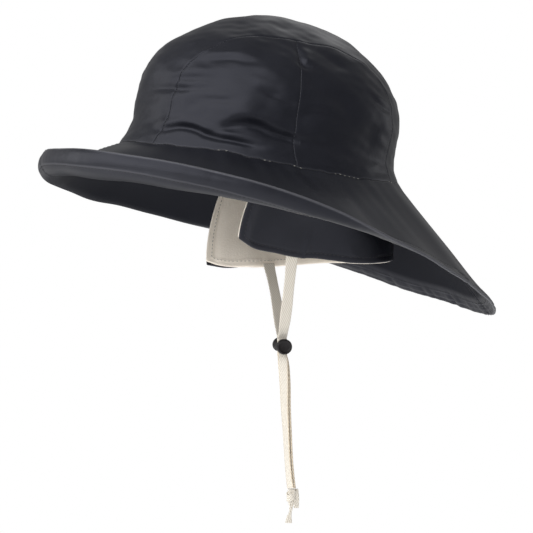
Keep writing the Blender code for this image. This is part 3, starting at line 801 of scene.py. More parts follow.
@dataclass(frozen=True)
class MouldedPlastic:
    """Injection-moulded acetal: black with a satin spark-eroded skin."""

    name: str = "moulded_black_acetal"
    colour: str = "#171315"
    roughness: float = 0.46
    specular_level: float = 0.35
    pit: float = 0.35

    def material(self) -> bpy.types.Material:
        """The finish as nodes: fine pits and a little unevenness of gloss."""
        material, tree, shader = blank_material(self.name)
        place_on = add_node(tree, "ShaderNodeTexCoord").outputs["Object"]
        pits = add_node(tree, "ShaderNodeTexNoise", values={"Scale": 1.0 / (self.pit * MM), "Detail": 2.0},
                        links={"Vector": place_on})
        rough = add_node(tree, "ShaderNodeMapRange", links={"Value": pits.outputs["Fac"]},
                         values={"To Min": self.roughness - 0.06, "To Max": self.roughness + 0.08})
        tree.links.new(rough.outputs["Result"], shader.inputs["Roughness"])
        bump = add_node(tree, "ShaderNodeBump", values={"Strength": 0.4, "Distance": 0.02 * MM},
                        links={"Height": pits.outputs["Fac"]})
        tree.links.new(bump.outputs["Normal"], shader.inputs["Normal"])
        set_values(shader, {"Base Color": linear_colour(self.colour),
                            "Specular IOR Level": self.specular_level})
        return material


@dataclass(frozen=True)
class SewingThread:
    """Spun polyester sewing thread, with a faint twist."""

    name: str
    colour: str

    def material(self) -> bpy.types.Material:
        """The finish as nodes: a fine twist in colour and height."""
        material, tree, shader = blank_material(self.name)
        place_on = add_node(tree, "ShaderNodeTexCoord").outputs["Object"]
        twist = add_node(tree, "ShaderNodeTexNoise", values={"Scale": 1.0 / (0.4 * MM), "Detail": 2.0},
                         links={"Vector": place_on})
        bump = add_node(tree, "ShaderNodeBump", values={"Strength": 0.5, "Distance": 0.05 * MM},
                        links={"Height": twist.outputs["Fac"]})
        tree.links.new(bump.outputs["Normal"], shader.inputs["Normal"])
        set_values(shader, {"Base Color": linear_colour(self.colour), "Roughness": 0.7})
        return material


class CrownForm:
    """The crown's smooth form with its head opening level, before its folds."""

    def __init__(self) -> None:
        """Make the form's curves from its tables."""
        rows = squared(CROWN_ROWS)
        self.front, self.back, self.side = (smooth_curve(rows, column) for column in (1, 2, 3))
        self.seam_curve = smooth_curve(SEAM_ROWS, 1)
        self.panel_half_width = smooth_curve(PANEL_ROWS, 1)
        self.side_seam = smooth_curve(SIDE_SEAM_ROWS, 1)
        self.waves = (Waves(11, 20.0, 56.0, 0.3, 18, 0.6), Waves(12, 7.0, 15.0, 0.11, 30, 0.3))

    def seam_height(self, y: np.ndarray) -> np.ndarray:
        """Height of the brim seam at a place along the hat."""
        waver = sum(height * np.sin(y / length + phase) for height, length, phase in SEAM_WAVER_ROWS)
        return self.seam_curve(y) + waver

    def half_length(self, y: np.ndarray, z: np.ndarray) -> np.ndarray:
        """Reach of the crown to the front or the back at a height."""
        return np.sqrt(np.maximum(np.where(y < 0.0, self.front(z), self.back(z)), SMALL))

    def half_side(self, z: np.ndarray) -> np.ndarray:
        """Reach of the crown to the side at a height."""
        return np.sqrt(np.maximum(self.side(z), SMALL))

    def half_width(self, y: np.ndarray, z: np.ndarray) -> np.ndarray:
        """Half-width of the crown at a place of its side view, and less than nothing outside it."""
        share = 1.0 - (np.abs(y) / self.half_length(y, z)) ** CROWN_SQUARENESS
        width = self.half_side(z) * np.maximum(share, 0.0) ** (1.0 / CROWN_SQUARENESS)
        return np.where(share > 0.0, width, -1.0)

    def level(self, points: np.ndarray) -> np.ndarray:
        """One on the crown's surface, less inside it."""
        x, y, z = np.moveaxis(points, -1, 0)
        across = (np.abs(x) / self.half_side(z)) ** CROWN_SQUARENESS
        return across + (np.abs(y) / self.half_length(y, z)) ** CROWN_SQUARENESS

    def normals(self, points: np.ndarray) -> np.ndarray:
        """Unit outward normals at an array of points."""
        slopes = []
        for axis in range(3):
            step = np.zeros(3)
            step[axis] = 0.05
            slopes.append(self.level(points + step) - self.level(points - step))
        return unit(np.stack(slopes, axis=-1))

    def on_ray(self, x: np.ndarray, turn: np.ndarray) -> np.ndarray:
        """Points of the crown at these x, along rays of its side view. Turn 0 is forward, pi is back."""
        x, turn = np.broadcast_arrays(np.asarray(x, dtype=float), np.asarray(turn, dtype=float))
        low, high = np.zeros(x.shape), np.full(x.shape, 140.0)
        for _ in range(HALVINGS):
            middle = 0.5 * (low + high)
            y, z = -middle * np.cos(turn), middle * np.sin(turn)
            inside = (z < CROWN_TOP) & (self.half_width(y, z) > np.abs(x))
            low, high = np.where(inside, middle, low), np.where(inside, high, middle)
        return np.stack((x, -low * np.cos(turn), low * np.sin(turn)), axis=-1)

    def seam_foot(self, x: np.ndarray, toward: int) -> np.ndarray:
        """Points of the brim seam at these x, to the front (-1) or the back (1)."""
        x = np.asarray(x, dtype=float)
        low, high = np.zeros(x.shape), np.full(x.shape, 112.0)
        for _ in range(HALVINGS):
            middle = 0.5 * (low + high)
            along = toward * middle
            inside = self.half_width(along, self.seam_height(along)) > np.abs(x)
            low, high = np.where(inside, middle, low), np.where(inside, high, middle)
        return np.stack((x, toward * low, self.seam_height(toward * low)), axis=-1)

    def seam_point(self, angle: np.ndarray, rise: float = 0.0) -> np.ndarray:
        """Points this far above the brim seam at angles from the front, on the left side."""
        angle = np.asarray(angle, dtype=float)
        length = np.full(angle.shape, 106.0)
        for _ in range(20):
            y = -length * np.cos(angle)
            length = self.half_length(y, self.seam_height(y) + rise)
        y = -length * np.cos(angle)
        z = self.seam_height(y) + rise
        x = self.half_side(z) * np.maximum(1.0 - np.abs(np.cos(angle)) ** CROWN_SQUARENESS, 0.0) ** (
            1.0 / CROWN_SQUARENESS
        )
        return np.stack((x, y, z), axis=-1)

    def arch_points(self, share: np.ndarray, beyond: float) -> np.ndarray:
        """Points beside the centre panel's left seam, at shares of its way, this far outside it."""
        ends = []
        for place, toward in ((0.0, -1), (1.0, 1)):
            foot = self.seam_foot(self.panel_half_width(place) + beyond, toward)
            ends.append(math.atan2(foot[2], -foot[1]) % TURN)
        start = ends[0] if ends[0] < math.pi else ends[0] - TURN
        share = np.asarray(share, dtype=float)
        return self.on_ray(self.panel_half_width(share) + beyond, start + (ends[1] - start) * share)

    def folded(self, points: np.ndarray) -> np.ndarray:
        """The points with the crown's folds, dents and soft unevenness pressed in."""
        depth = -sum(waves.at(points) for waves in self.waves)
        for crease in CREASES:
            depth += crease_depth(crease, points)
        for x, along, height, radius, inward in DENT_ROWS:
            depth += inward * hump(np.linalg.norm(points - (x, along, height), axis=-1), radius)
        rise = np.clip((points[..., 2] - self.seam_height(points[..., 1]) - 1.0) / 6.0, 0.0, 1.0)
        depth *= rise * rise * (3.0 - 2.0 * rise)
        return points - self.normals(points) * depth[..., None]


def crease_depth(crease: Crease, points: np.ndarray) -> np.ndarray:
    """How far one fold moves the crown's surface inward at an array of points.

    Args:
        crease: the fold.
        points: points of the crown, level, in millimetres.

    Returns:
        Depths in millimetres, less than nothing on the ridge.
    """
    knots = np.array(crease.path)
    places = np.linspace(0.0, 1.0, len(knots))
    rows = [(place, *knot) for place, knot in zip(places, knots)]
    shares = np.linspace(0.0, 1.0, 41)
    path = np.stack([smooth_curve(rows, column)(shares) for column in (1, 2)], axis=-1)
    tangents = unit(np.gradient(path, axis=0))
    flat = points[..., 1:].reshape(-1, 2)
    reach = 6.0 * crease.width
    near = np.all((flat > path.min(0) - reach) & (flat < path.max(0) + reach), axis=1)
    depths = np.zeros(len(flat))
    spots = flat[near]
    if len(spots):
        offsets = spots[:, None] - path[None]
        nearest = np.argmin((offsets**2).sum(-1), axis=1)
        chosen = offsets[np.arange(len(spots)), nearest]
        tangent = tangents[nearest]
        rise = (chosen[:, 1] * tangent[:, 0] - chosen[:, 0] * tangent[:, 1]) / crease.width
        run = (chosen * tangent).sum(-1) / (2.0 * crease.width)
        envelope = np.sin(math.pi * (0.08 + 0.84 * shares[nearest])) ** 0.8 * hump(run, 1.0)
        valley = hump(rise, 1.0, 1.8) - crease.ridge * hump(rise - 1.9, 1.2649)
        depths[near] = crease.depth * valley * envelope
    return depths.reshape(points.shape[:-1]) * soft_step(-crease.side * points[..., 0], 3.0)


@dataclass
class Seam:
    """A line that is sewn, as points with the cloth's outward direction at each."""

    points: np.ndarray
    normals: np.ndarray


def line_on(grid: np.ndarray, wall: np.ndarray | float, rows: np.ndarray, columns: np.ndarray,
            face: Face) -> Seam:
    """A line to be sewn on a cloth's face.

    Args:
        grid: points of the cloth's outer face.
        wall: the cloth's thickness, one number or one for each point.
        rows: places of the line along the grid's rows, counted in points.
        columns: places of the line along the grid's columns, counted in points.
        face: the face that the line lies on.

    Returns:
        The line.
    """
    outward = unit(sample(grid_normals(grid), rows, columns))
    points = sample(grid, rows, columns)
    if face is Face.OUTER:
        return Seam(points, outward)
    thickness = sample(np.broadcast_to(np.asarray(wall, dtype=float), grid.shape[:2]), rows, columns)
    return Seam(points - outward * thickness[..., None], -outward)


def stitch_tree() -> bpy.types.NodeTree:
    """Geometry nodes that lay stitches along a line, each a short rounded length of thread.

    Returns:
        The tree, whose inputs are the line, the pitch, the stitch's length, width and height, the seed and
        the thread.
    """
    tree = bpy.data.node_groups.new("stitches_along_a_seam", "GeometryNodeTree")
    sockets = (
        ("Seam", "NodeSocketGeometry"),
        ("Pitch", "NodeSocketFloat"),
        ("Stitch Length", "NodeSocketFloat"),
        ("Stitch Width", "NodeSocketFloat"),
        ("Stitch Height", "NodeSocketFloat"),
        ("Seed", "NodeSocketInt"),
        ("Thread", "NodeSocketMaterial"),
    )
    for name, kind in sockets:
        tree.interface.new_socket(name, in_out="INPUT", socket_type=kind)
    tree.interface.new_socket("Stitches", in_out="OUTPUT", socket_type="NodeSocketGeometry")
    given = add_node(tree, "NodeGroupInput").outputs
    line = add_node(tree, "GeometryNodeMeshToCurve", links={"Mesh": given["Seam"]})
    spaced = add_node(tree, "GeometryNodeResampleCurve", settings={"mode": "LENGTH"},
                      links={"Curve": line.outputs["Curve"], "Length": given["Pitch"]})
    outward = add_node(tree, "GeometryNodeInputNamedAttribute", settings={"data_type": "FLOAT_VECTOR"},
                       values={"Name": "outward"})
    tangent = add_node(tree, "GeometryNodeInputTangent")
    turn = add_node(tree, "FunctionNodeAxesToRotation",
                    settings={"primary_axis": "X", "secondary_axis": "Z"},
                    links={0: tangent.outputs["Tangent"], 1: outward.outputs["Attribute"]})
    bead = add_node(tree, "GeometryNodeMeshUVSphere", values={"Segments": 8, "Rings": 5, "Radius": 0.5})
    sizes = add_node(tree, "ShaderNodeCombineXYZ",
                     links={"X": given["Stitch Length"], "Y": given["Stitch Width"],
                            "Z": given["Stitch Height"]})
    stitch = add_node(tree, "GeometryNodeTransform", links={"Geometry": bead.outputs["Mesh"],
                                                            "Scale": sizes.outputs["Vector"]})
    uneven = add_node(tree, "FunctionNodeRandomValue", settings={"data_type": "FLOAT_VECTOR"},
                      values={0: (0.86, 0.9, 0.85), 1: (1.06, 1.08, 1.1)}, links={"Seed": given["Seed"]})
    laid = add_node(tree, "GeometryNodeInstanceOnPoints",
                    links={"Points": spaced.outputs["Curve"], "Instance": stitch.outputs["Geometry"],
                           "Rotation": turn.outputs["Rotation"], "Scale": uneven.outputs["Value"]})
    real = add_node(tree, "GeometryNodeRealizeInstances", links={"Geometry": laid.outputs["Instances"]})
    smooth = add_node(tree, "GeometryNodeSetShadeSmooth", links={"Geometry": real.outputs["Geometry"]})
    thread = add_node(tree, "GeometryNodeSetMaterial", links={"Geometry": smooth.outputs["Geometry"],
                                                              "Material": given["Thread"]})
    add_node(tree, "NodeGroupOutput", links={"Stitches": thread.outputs["Geometry"]})
    return tree


@dataclass
class Sewing:
    """Lays stitches along seams. Sizes are in millimetres."""

    pitch: float
    length: float
    width: float
    height: float
    tree: bpy.types.NodeTree

    def sew(self, name: str, seams: Sequence[Seam], thread: bpy.types.Material, slot: str,
            seed: int) -> None:
        """Make one piece of stitches along some seams.

        Args:
            name: the piece's name.
            seams: the lines, in millimetres.
            thread: the thread's material.
            slot: the record's slot of the cloth that is sewn.
            seed: seed of the stitches' unevenness.
        """
        points = np.concatenate([seam.points for seam in seams]) * MM
        outward = np.concatenate([seam.normals for seam in seams])
        edges, start = [], 0
        for seam in seams:
            edges += [(start + step, start + step + 1) for step in range(len(seam.points) - 1)]
            start += len(seam.points)
        mesh = bpy.data.meshes.new(name)
        mesh.from_pydata(points.tolist(), edges, [])
        mesh.attributes.new("outward", "FLOAT_VECTOR", "POINT").data.foreach_set("vector", outward.ravel())
        line = bpy.data.objects.new(name + "_line", mesh)
        bpy.context.scene.collection.objects.link(line)
        sewn = line.modifiers.new("stitches", "NODES")
        sewn.node_group = self.tree
        sizes = {"Pitch": self.pitch * MM, "Stitch Length": self.length * MM,
                 "Stitch Width": self.width * MM, "Stitch Height": self.height * MM,
                 "Seed": seed, "Thread": thread}
        for socket in self.tree.interface.items_tree:
            if socket.in_out == "INPUT" and socket.name in sizes:
                sewn[socket.identifier] = sizes[socket.name]
        graph = bpy.context.evaluated_depsgraph_get()
        stitches = bpy.data.meshes.new_from_object(line.evaluated_get(graph))
        line.modifiers.remove(sewn)
        bpy.data.objects.remove(line)
        stitches.name = name
        place(name, stitches, thread, slot)


@dataclass(frozen=True)
class SeamEdge:
    """Cloth beside a sewn seam, lifted by the allowance under it and puckered. Sizes are in millimetres."""

    raised: float = 0.16
    allowance: tuple[float, float] = (1.6, 2.2)
    sunk: float = 0.1
    sunk_half: float = 0.5
    pucker_lengths: tuple[float, float] = (7.0, 15.0)
    pucker_share: float = 0.13636
    pucker_reach: float = 6.0

    def height(self, distance: np.ndarray, run: np.ndarray, seed: int) -> np.ndarray:
        """How far the cloth stands out.

        Args:
            distance: distance from the seam in millimetres.
            run: place along the seam in millimetres.
            seed: seed of the puckers.

        Returns:
            Heights in millimetres.
        """
        middle, half = self.allowance
        puckers = ripple(run, seed, self.pucker_lengths, 5) * np.exp(-distance / self.pucker_reach)
        return (self.raised * hump(distance - middle, half) - self.sunk * hump(distance, self.sunk_half)
                + self.pucker_share * self.raised * puckers * np.clip(distance / 1.2, 0.0, 1.0))


@dataclass
class Crown:
    """The five panels of the crown. Sizes are in millimetres."""

    form: CrownForm
    wall: float = 1.0
    half_gap: float = 0.04
    bulge: float = 0.03
    arch_edge: SeamEdge = SeamEdge()
    upright_edge: SeamEdge = SeamEdge(raised=0.1)
    # A pale line painted on the folded edge at the brim seam, as the highlight that edge catches.
    foot_highlight: float = 0.14
    foot_highlight_half: float = 0.7
    centre_flat: tuple[float, float] = (0.100, 0.362)
    centre_area: float = 0.0346
    side_flat: tuple[float, float] = (0.108, 0.108)
    front_area: float = 0.0083
    back_area: float = 0.0081

    def centre_panel(self) -> np.ndarray:
        """Points of the centre panel's outer face, level."""
        form = self.form
        shares = closer_at_ends(250, 0.3)[:, None]
        across = 2.0 * closer_at_ends(88, 0.62)[None, :] - 1.0
        start_x = across[0] * (form.panel_half_width(0.0) - self.half_gap)
        end_x = across[0] * (form.panel_half_width(1.0) - self.half_gap)
        front, back = form.seam_foot(start_x, -1), form.seam_foot(end_x, 1)
        start = np.arctan2(front[:, 2], -front[:, 1])[None, :]
        end = (np.arctan2(back[:, 2], -back[:, 1]) % TURN)[None, :]
        x = across * (form.panel_half_width(shares) - self.half_gap)
        grid = form.on_ray(x, start + (end - start) * shares)
        rows, columns = run_along(grid, 0), run_along(grid, 1)
        run = rows[:, :1] * 0.5 + rows[:, -1:] * 0.5
        lift = self.arch_edge.height(columns, run, 1)
        lift += self.arch_edge.height(columns[:, -1:] - columns, run, 2)
        return self.lifted(form.folded(grid), grid, lift)

    def lifted(self, folded: np.ndarray, base: np.ndarray, lift: np.ndarray) -> np.ndarray:
        """The folded cloth with the shape of its sewn edges, which fades at the brim."""
        rise = np.clip((base[..., 2] - self.form.seam_height(base[..., 1])) / 5.0, 0.0, 1.0)
        return folded + self.form.normals(base) * (lift * rise)[..., None]

    def share_on_arch(self, y: float) -> float:
        """The share of the arch's way, near its top, where it stands at this y."""
        low, high = 0.2, 0.8
        for _ in range(HALVINGS):
            middle = 0.5 * (low + high)
            before = self.form.arch_points(middle, self.half_gap)[1] < y
            low, high = (middle, high) if before else (low, middle)
        return low

    def side_panel(self, toward: int) -> np.ndarray:
        """Points of the left side's front (-1) or back (1) panel's outer face, level, before its folds."""
        form, gap = self.form, self.half_gap
        foot, head = (float(form.side_seam(share)) + toward * gap for share in (0.0, 1.0))
        end_share = 0.0 if toward < 0 else 1.0
        head_share = self.share_on_arch(head)
        corner_share = end_share + (head_share - end_share) * 0.5
        s, t = closer_at_ends(84, 0.55)[None, :, None], closer_at_ends(84, 0.55)[:, None, None]
        along = form.arch_points(end_share, gap)[1]
        along = along + (foot - along) * s[0, :, 0]
        bottom = np.stack((along, form.seam_height(along)), axis=-1)[None]
        top = form.arch_points(corner_share + (head_share - corner_share) * s[0, :, 0], gap)[None, :, 1:]
        outer = form.arch_points(end_share + (corner_share - end_share) * t[:, 0, 0], gap)[:, None, 1:]
        inner = bottom[:, -1:] + (top[:, -1:] - bottom[:, -1:]) * t
        inner[..., 0] = form.side_seam(t[..., 0]) + toward * gap
        sides = (1 - t) * bottom + t * top + (1 - s) * outer + s * inner
        lower_corners = (1 - s) * (1 - t) * bottom[:, :1] + s * (1 - t) * bottom[:, -1:]
        upper_corners = (1 - s) * t * top[:, :1] + s * t * top[:, -1:]
        y, z = np.moveaxis(sides - lower_corners - upper_corners, -1, 0)
        return np.stack((form.half_width(y, z), y, z), axis=-1)

    def panel_seams(self) -> list[Seam]:
        """The lines between the panels, where fine thread shows in the seam."""
        lines = []
        shares = np.linspace(0.02, 0.98, 260)
        arch = self.form.arch_points(shares, 0.0)
        share = np.linspace(0.0, 1.0, 90)
        head = self.form.arch_points(self.share_on_arch(float(self.form.side_seam(1.0))), 0.0)
        foot_y = float(self.form.side_seam(0.0))
        z = self.form.seam_height(foot_y) * (1.0 - share) + head[2] * share
        y = self.form.side_seam(share)
        upright = np.stack((self.form.half_width(y, z), y, z), axis=-1)
        for side in Side:
            for line in (arch, upright):
                line = line * (side.value, 1.0, 1.0)
                outward = self.form.normals(line)
                lines.append(Seam(pitched(self.form.folded(line) - 0.1 * outward), pitched(outward)))
        return lines

    def painted_foot_highlight(self, grid: np.ndarray, both_ends: bool) -> np.ndarray:
        """How much paler the coat is painted on the folded edge at the brim seam, as highlight, from 0 to 1.
        """
        rows = run_along(grid, 0)
        distance = np.minimum(rows, rows[-1:] - rows) if both_ends else rows
        return self.foot_highlight * hump(distance, self.foot_highlight_half)

    def bare_thread(self) -> list[Seam]:
        """The stretches of the brim seam where its light thread shows."""
        lines = []
        for side, start, end in BARE_THREAD_ROWS:
            angles = np.radians(np.linspace(start, end, max(4, int(end - start) * 2)))
            line = self.form.seam_point(angles) * (side, 1.0, 1.0)
            outward = self.form.normals(line)
            lines.append(Seam(pitched(line + 0.05 * outward), pitched(outward)))
        return lines

    def build(self, cloth: bpy.types.Material) -> None:
        """Make the five panels."""
        centre = pitched(self.centre_panel())
        mesh = cloth_mesh("crown_centre", centre, self.wall, self.bulge, painted_highlight=self.painted_foot_highlight(centre, True))
        piece = place("crown_centre", mesh, cloth, "coated_cloth", ["crown_centre_panel"])
        for side in Side:
            for toward, where, area in ((-1, "front", self.front_area), (1, "back", self.back_area)):
                base = self.side_panel(toward) * (side.value, 1.0, 1.0)
                rows, columns = run_along(base, 0), run_along(base, 1)
                lift = self.arch_edge.height(columns, rows, 3 + toward)
                lift += self.upright_edge.height(columns[:, -1:] - columns, rows, 6)
                lift += self.arch_edge.height(rows[-1:] - rows, columns, 8 + toward)
                grid = self.lifted(self.form.folded(base), base, lift)
                if toward * side.value > 0:
                    grid = grid[:, ::-1]
                name = f"crown_{where}_{side.word}"
                node = f"crown_side_{where}_{side.word}"
                painted_highlight = self.painted_foot_highlight(grid, False)
                mesh = cloth_mesh(name, pitched(grid), self.wall, self.bulge, painted_highlight)
                piece = place(name, mesh, cloth, "coated_cloth", [node])


@dataclass
class Brim:
    """The two halves of the gutter brim. Sizes are in millimetres."""

    form: CrownForm
    wall: float = 1.6
    gap: float = 0.3
    rim_centre: float = 24.7
    seam_skew: float = math.radians(5.0)
    hem: float = 11.0
    hem_swell: float = 0.45
    flat: tuple[float, float] = (0.115, 0.430)
    area: float = 0.0326
    half_join: float = 0.004
    bulge: float = 0.42
    centre_stitch: float = 2.4
    groove: float = 0.16
    groove_half: float = 0.8
    groove_thinner: float = 0.3
    hem_rise: float = 0.12
    hem_softness: float = 0.45
    join_rise: float = 0.28
    # Painted highlight: pale lines beside the centre seams, and a slightly paler turned-up band in front,
    # its middle and half-width from the edge.
    join_highlight: float = 0.16
    band_highlight: float = 0.05
    band: tuple[float, float] = (11.0, 9.0)
    matt_from: tuple[float, float] = (14.0, 5.0)
    tail_pucker: float = 0.16154
    pucker_half: float = 5.5
    pucker_lengths: tuple[float, float] = (6.0, 17.0)
    around: int = 320
    across: int = 76

    def __post_init__(self) -> None:
        """Make the brim's curves and its unevenness."""
        self.curves = [smooth_curve(BRIM_ROWS, column, flat_ends=True) for column in range(1, 8)]
        self.waves = Waves(seed=23, shortest=30.0, longest=90.0, height=0.4)

    def section(self, angle: float) -> np.ndarray:
        """The brim's upper face at one angle, evenly spaced: the slope, the gutter's turn and its lip."""
        place_at = math.degrees(angle)
        rim_reach, height, bow, radius, lift, lip, inset = (float(curve(place_at)) for curve in self.curves)
        start = self.form.seam_point(angle + self.seam_skew * math.sin(2.0 * angle)) + (0.0, 0.0, -self.gap)
        rim = np.array((rim_reach * math.sin(angle), self.rim_centre - rim_reach * math.cos(angle),
                        height + self.wall))
        outward = (rim - start) * (1.0, 1.0, 0.0)
        rim_length = np.linalg.norm(outward)
        outward /= rim_length
        rim_fall = start[2] - rim[2]
        slope = math.atan2(rim_fall, rim_length)
        for _ in range(30):
            turn = max(math.radians(lift) + slope, 0.0)
            end_slope = max(slope - turn, 0.0)
            centre_q = rim_length - inset * math.cos(end_slope) + radius * math.sin(end_slope)
            centre_z = -(rim_fall - inset * math.sin(end_slope)) + radius * math.cos(end_slope)
            tangent_q = centre_q - radius * math.sin(slope)
            tangent_z = centre_z - radius * math.cos(slope)
            slope = math.atan2(-tangent_z, tangent_q)
        share = np.linspace(0.0, 1.0, 60, endpoint=False)
        swell = 4.0 * bow * share * (1.0 - share)
        slope_q = tangent_q * share + swell * math.sin(slope)
        slope_z = tangent_z * share + swell * math.cos(slope)
        heading = slope - turn * np.linspace(0.0, 1.0, 40)
        q = np.concatenate((slope_q, centre_q - radius * np.sin(heading)))
        z = np.concatenate((slope_z, centre_z - radius * np.cos(heading)))
        q = np.append(q, q[-1] + lip * math.cos(heading[-1]))
        z = np.append(z, z[-1] - lip * math.sin(heading[-1]))
        lengths = np.concatenate(([0.0], np.cumsum(np.hypot(np.diff(q), np.diff(z)))))
        stations = closer_at_ends(self.across, 0.45) * lengths[-1]
        q, z = np.interp(stations, lengths, q), np.interp(stations, lengths, z)
        return start + outward * q[:, None] + np.stack((0 * z, 0 * z, z), axis=-1)

    def upper_face(self, side: Side) -> np.ndarray:
        """Points of one half's upper face, level, from centre front to centre back."""
        shares = closer_at_ends(self.around, 0.3)
        grid = np.array([self.section(math.pi * share) for share in shares])
        grid[..., 0] = side.value * (np.maximum(grid[..., 0], 0.0) + self.half_join + self.bulge * self.wall)
        return grid

    def puckers(self, run: np.ndarray, share: np.ndarray) -> np.ndarray:
        """Ripple of the hem along the brim's edge, strongest at the tail."""
        strength = 0.18 + 0.82 * np.clip((share - 0.72) / 0.2, 0.0, 1.0)
        return ripple(run, 41, self.pucker_lengths, 7) * self.tail_pucker * strength

    def painted_highlight(self, to_edge: np.ndarray, from_middle: np.ndarray, share: np.ndarray) -> np.ndarray:
        """How much paler the coat is painted, as highlight, from 0 to 1.

        Args:
            to_edge: distance from the brim's edge in millimetres.
            from_middle: distance from the centre seams in millimetres.
            share: place round the brim, from centre front to centre back.

        Returns:
            Shares: painted highlight, highest on edge, hem and seam lines, and slight on the turned-up band
                in front.
        """
        tail, front = np.clip(4.0 * share - 2.1, 0.0, 1.0), np.clip(2.0 - 4.0 * share, 0.0, 1.0)
        middle, half = self.band
        painted_highlight = self.join_highlight * hump(from_middle - 1.5, 0.5)
        painted_highlight = painted_highlight + self.band_highlight * hump(to_edge - middle, half, 4.0) * front
        for distance, half_width, paleness, at_tail in BRIM_HIGHLIGHT_ROWS:
            painted_highlight = painted_highlight + paleness * hump(to_edge - distance, half_width) * (tail if at_tail else 1.0)
        return painted_highlight

    def build(self, cloth: bpy.types.Material) -> list[Seam]:
        """Make both halves.

        Args:
            cloth: the finish.

        Returns:
            The lines that are sewn on both faces: the hem, and the seams at centre front and centre back.
        """
        seams = []
        share = closer_at_ends(self.around, 0.3)[:, None]
        for side in Side:
            base = self.upper_face(side)
            rows, columns = run_along(base, 0), run_along(base, 1)
            to_edge = columns[:, -1:] - columns
            normals = grid_normals(base) * side.value
            fade = np.clip(columns / 8.0, 0.0, 1.0) * np.clip(to_edge / 4.0 + 0.4, 0.0, 1.0)
            groove = hump(to_edge - self.hem, self.groove_half)
            hem = soft_step(to_edge - self.hem, self.hem_softness)
            height = self.waves.at(base) * fade - self.groove * groove + self.hem_rise * hem
            height += self.puckers(rows[:, -1:], share) * hump(to_edge - 0.5 * self.hem, self.pucker_half)
            from_middle = np.abs(base[..., 0])
            height += self.join_rise * (hump(from_middle - 2.0, 1.8) - 0.8 * hump(from_middle, 0.8))
            grid = base + normals * height[..., None]
            thickness = self.wall + self.hem_swell * hem - self.groove_thinner * groove
            grid[..., 0] += side.value * self.bulge * (thickness - self.wall)
            start, over = self.matt_from
            parts = (pitched(grid), thickness, to_edge, self.painted_highlight(to_edge, from_middle, share),
                     np.clip((to_edge - start) / over, 0.0, 1.0))
            if side is Side.RIGHT:
                parts = tuple(part[:, ::-1] for part in parts)
            face, thickness, to_edge, painted_highlight, matt = parts
            name = f"brim_half_{side.word}"
            mesh = cloth_mesh(name, face, thickness, self.bulge, painted_highlight, matt,
                              end_x=side.value * self.half_join)
            piece = place(name, mesh, cloth, "coated_cloth", [f"brim_{side.word}"])
            seams += self.sewn_lines(face, thickness, to_edge)
        return seams

    def sewn_lines(self, grid: np.ndarray, wall: np.ndarray, to_edge: np.ndarray) -> list[Seam]:
        """The hem's line and the lines beside the centre seams of one half, on both faces."""
        rows = np.arange(self.around, dtype=float)
        steps = np.arange(self.across, dtype=float)
        rising = np.sign(to_edge[0, -1] - to_edge[0, 0])
        hem = np.array([np.interp(rising * self.hem, rising * line, steps) for line in to_edge])
        away = np.abs(grid[..., 0])
        front, back = (
            np.array([np.interp(self.centre_stitch, away[ends, step], rows[ends])
                      for step in range(self.across)])
            for ends in (slice(0, 40), slice(None, -41, -1)))
        return [line_on(grid, wall, places, across, face) for face in Face
                for places, across in ((rows, hem), (front, steps), (back, steps))]


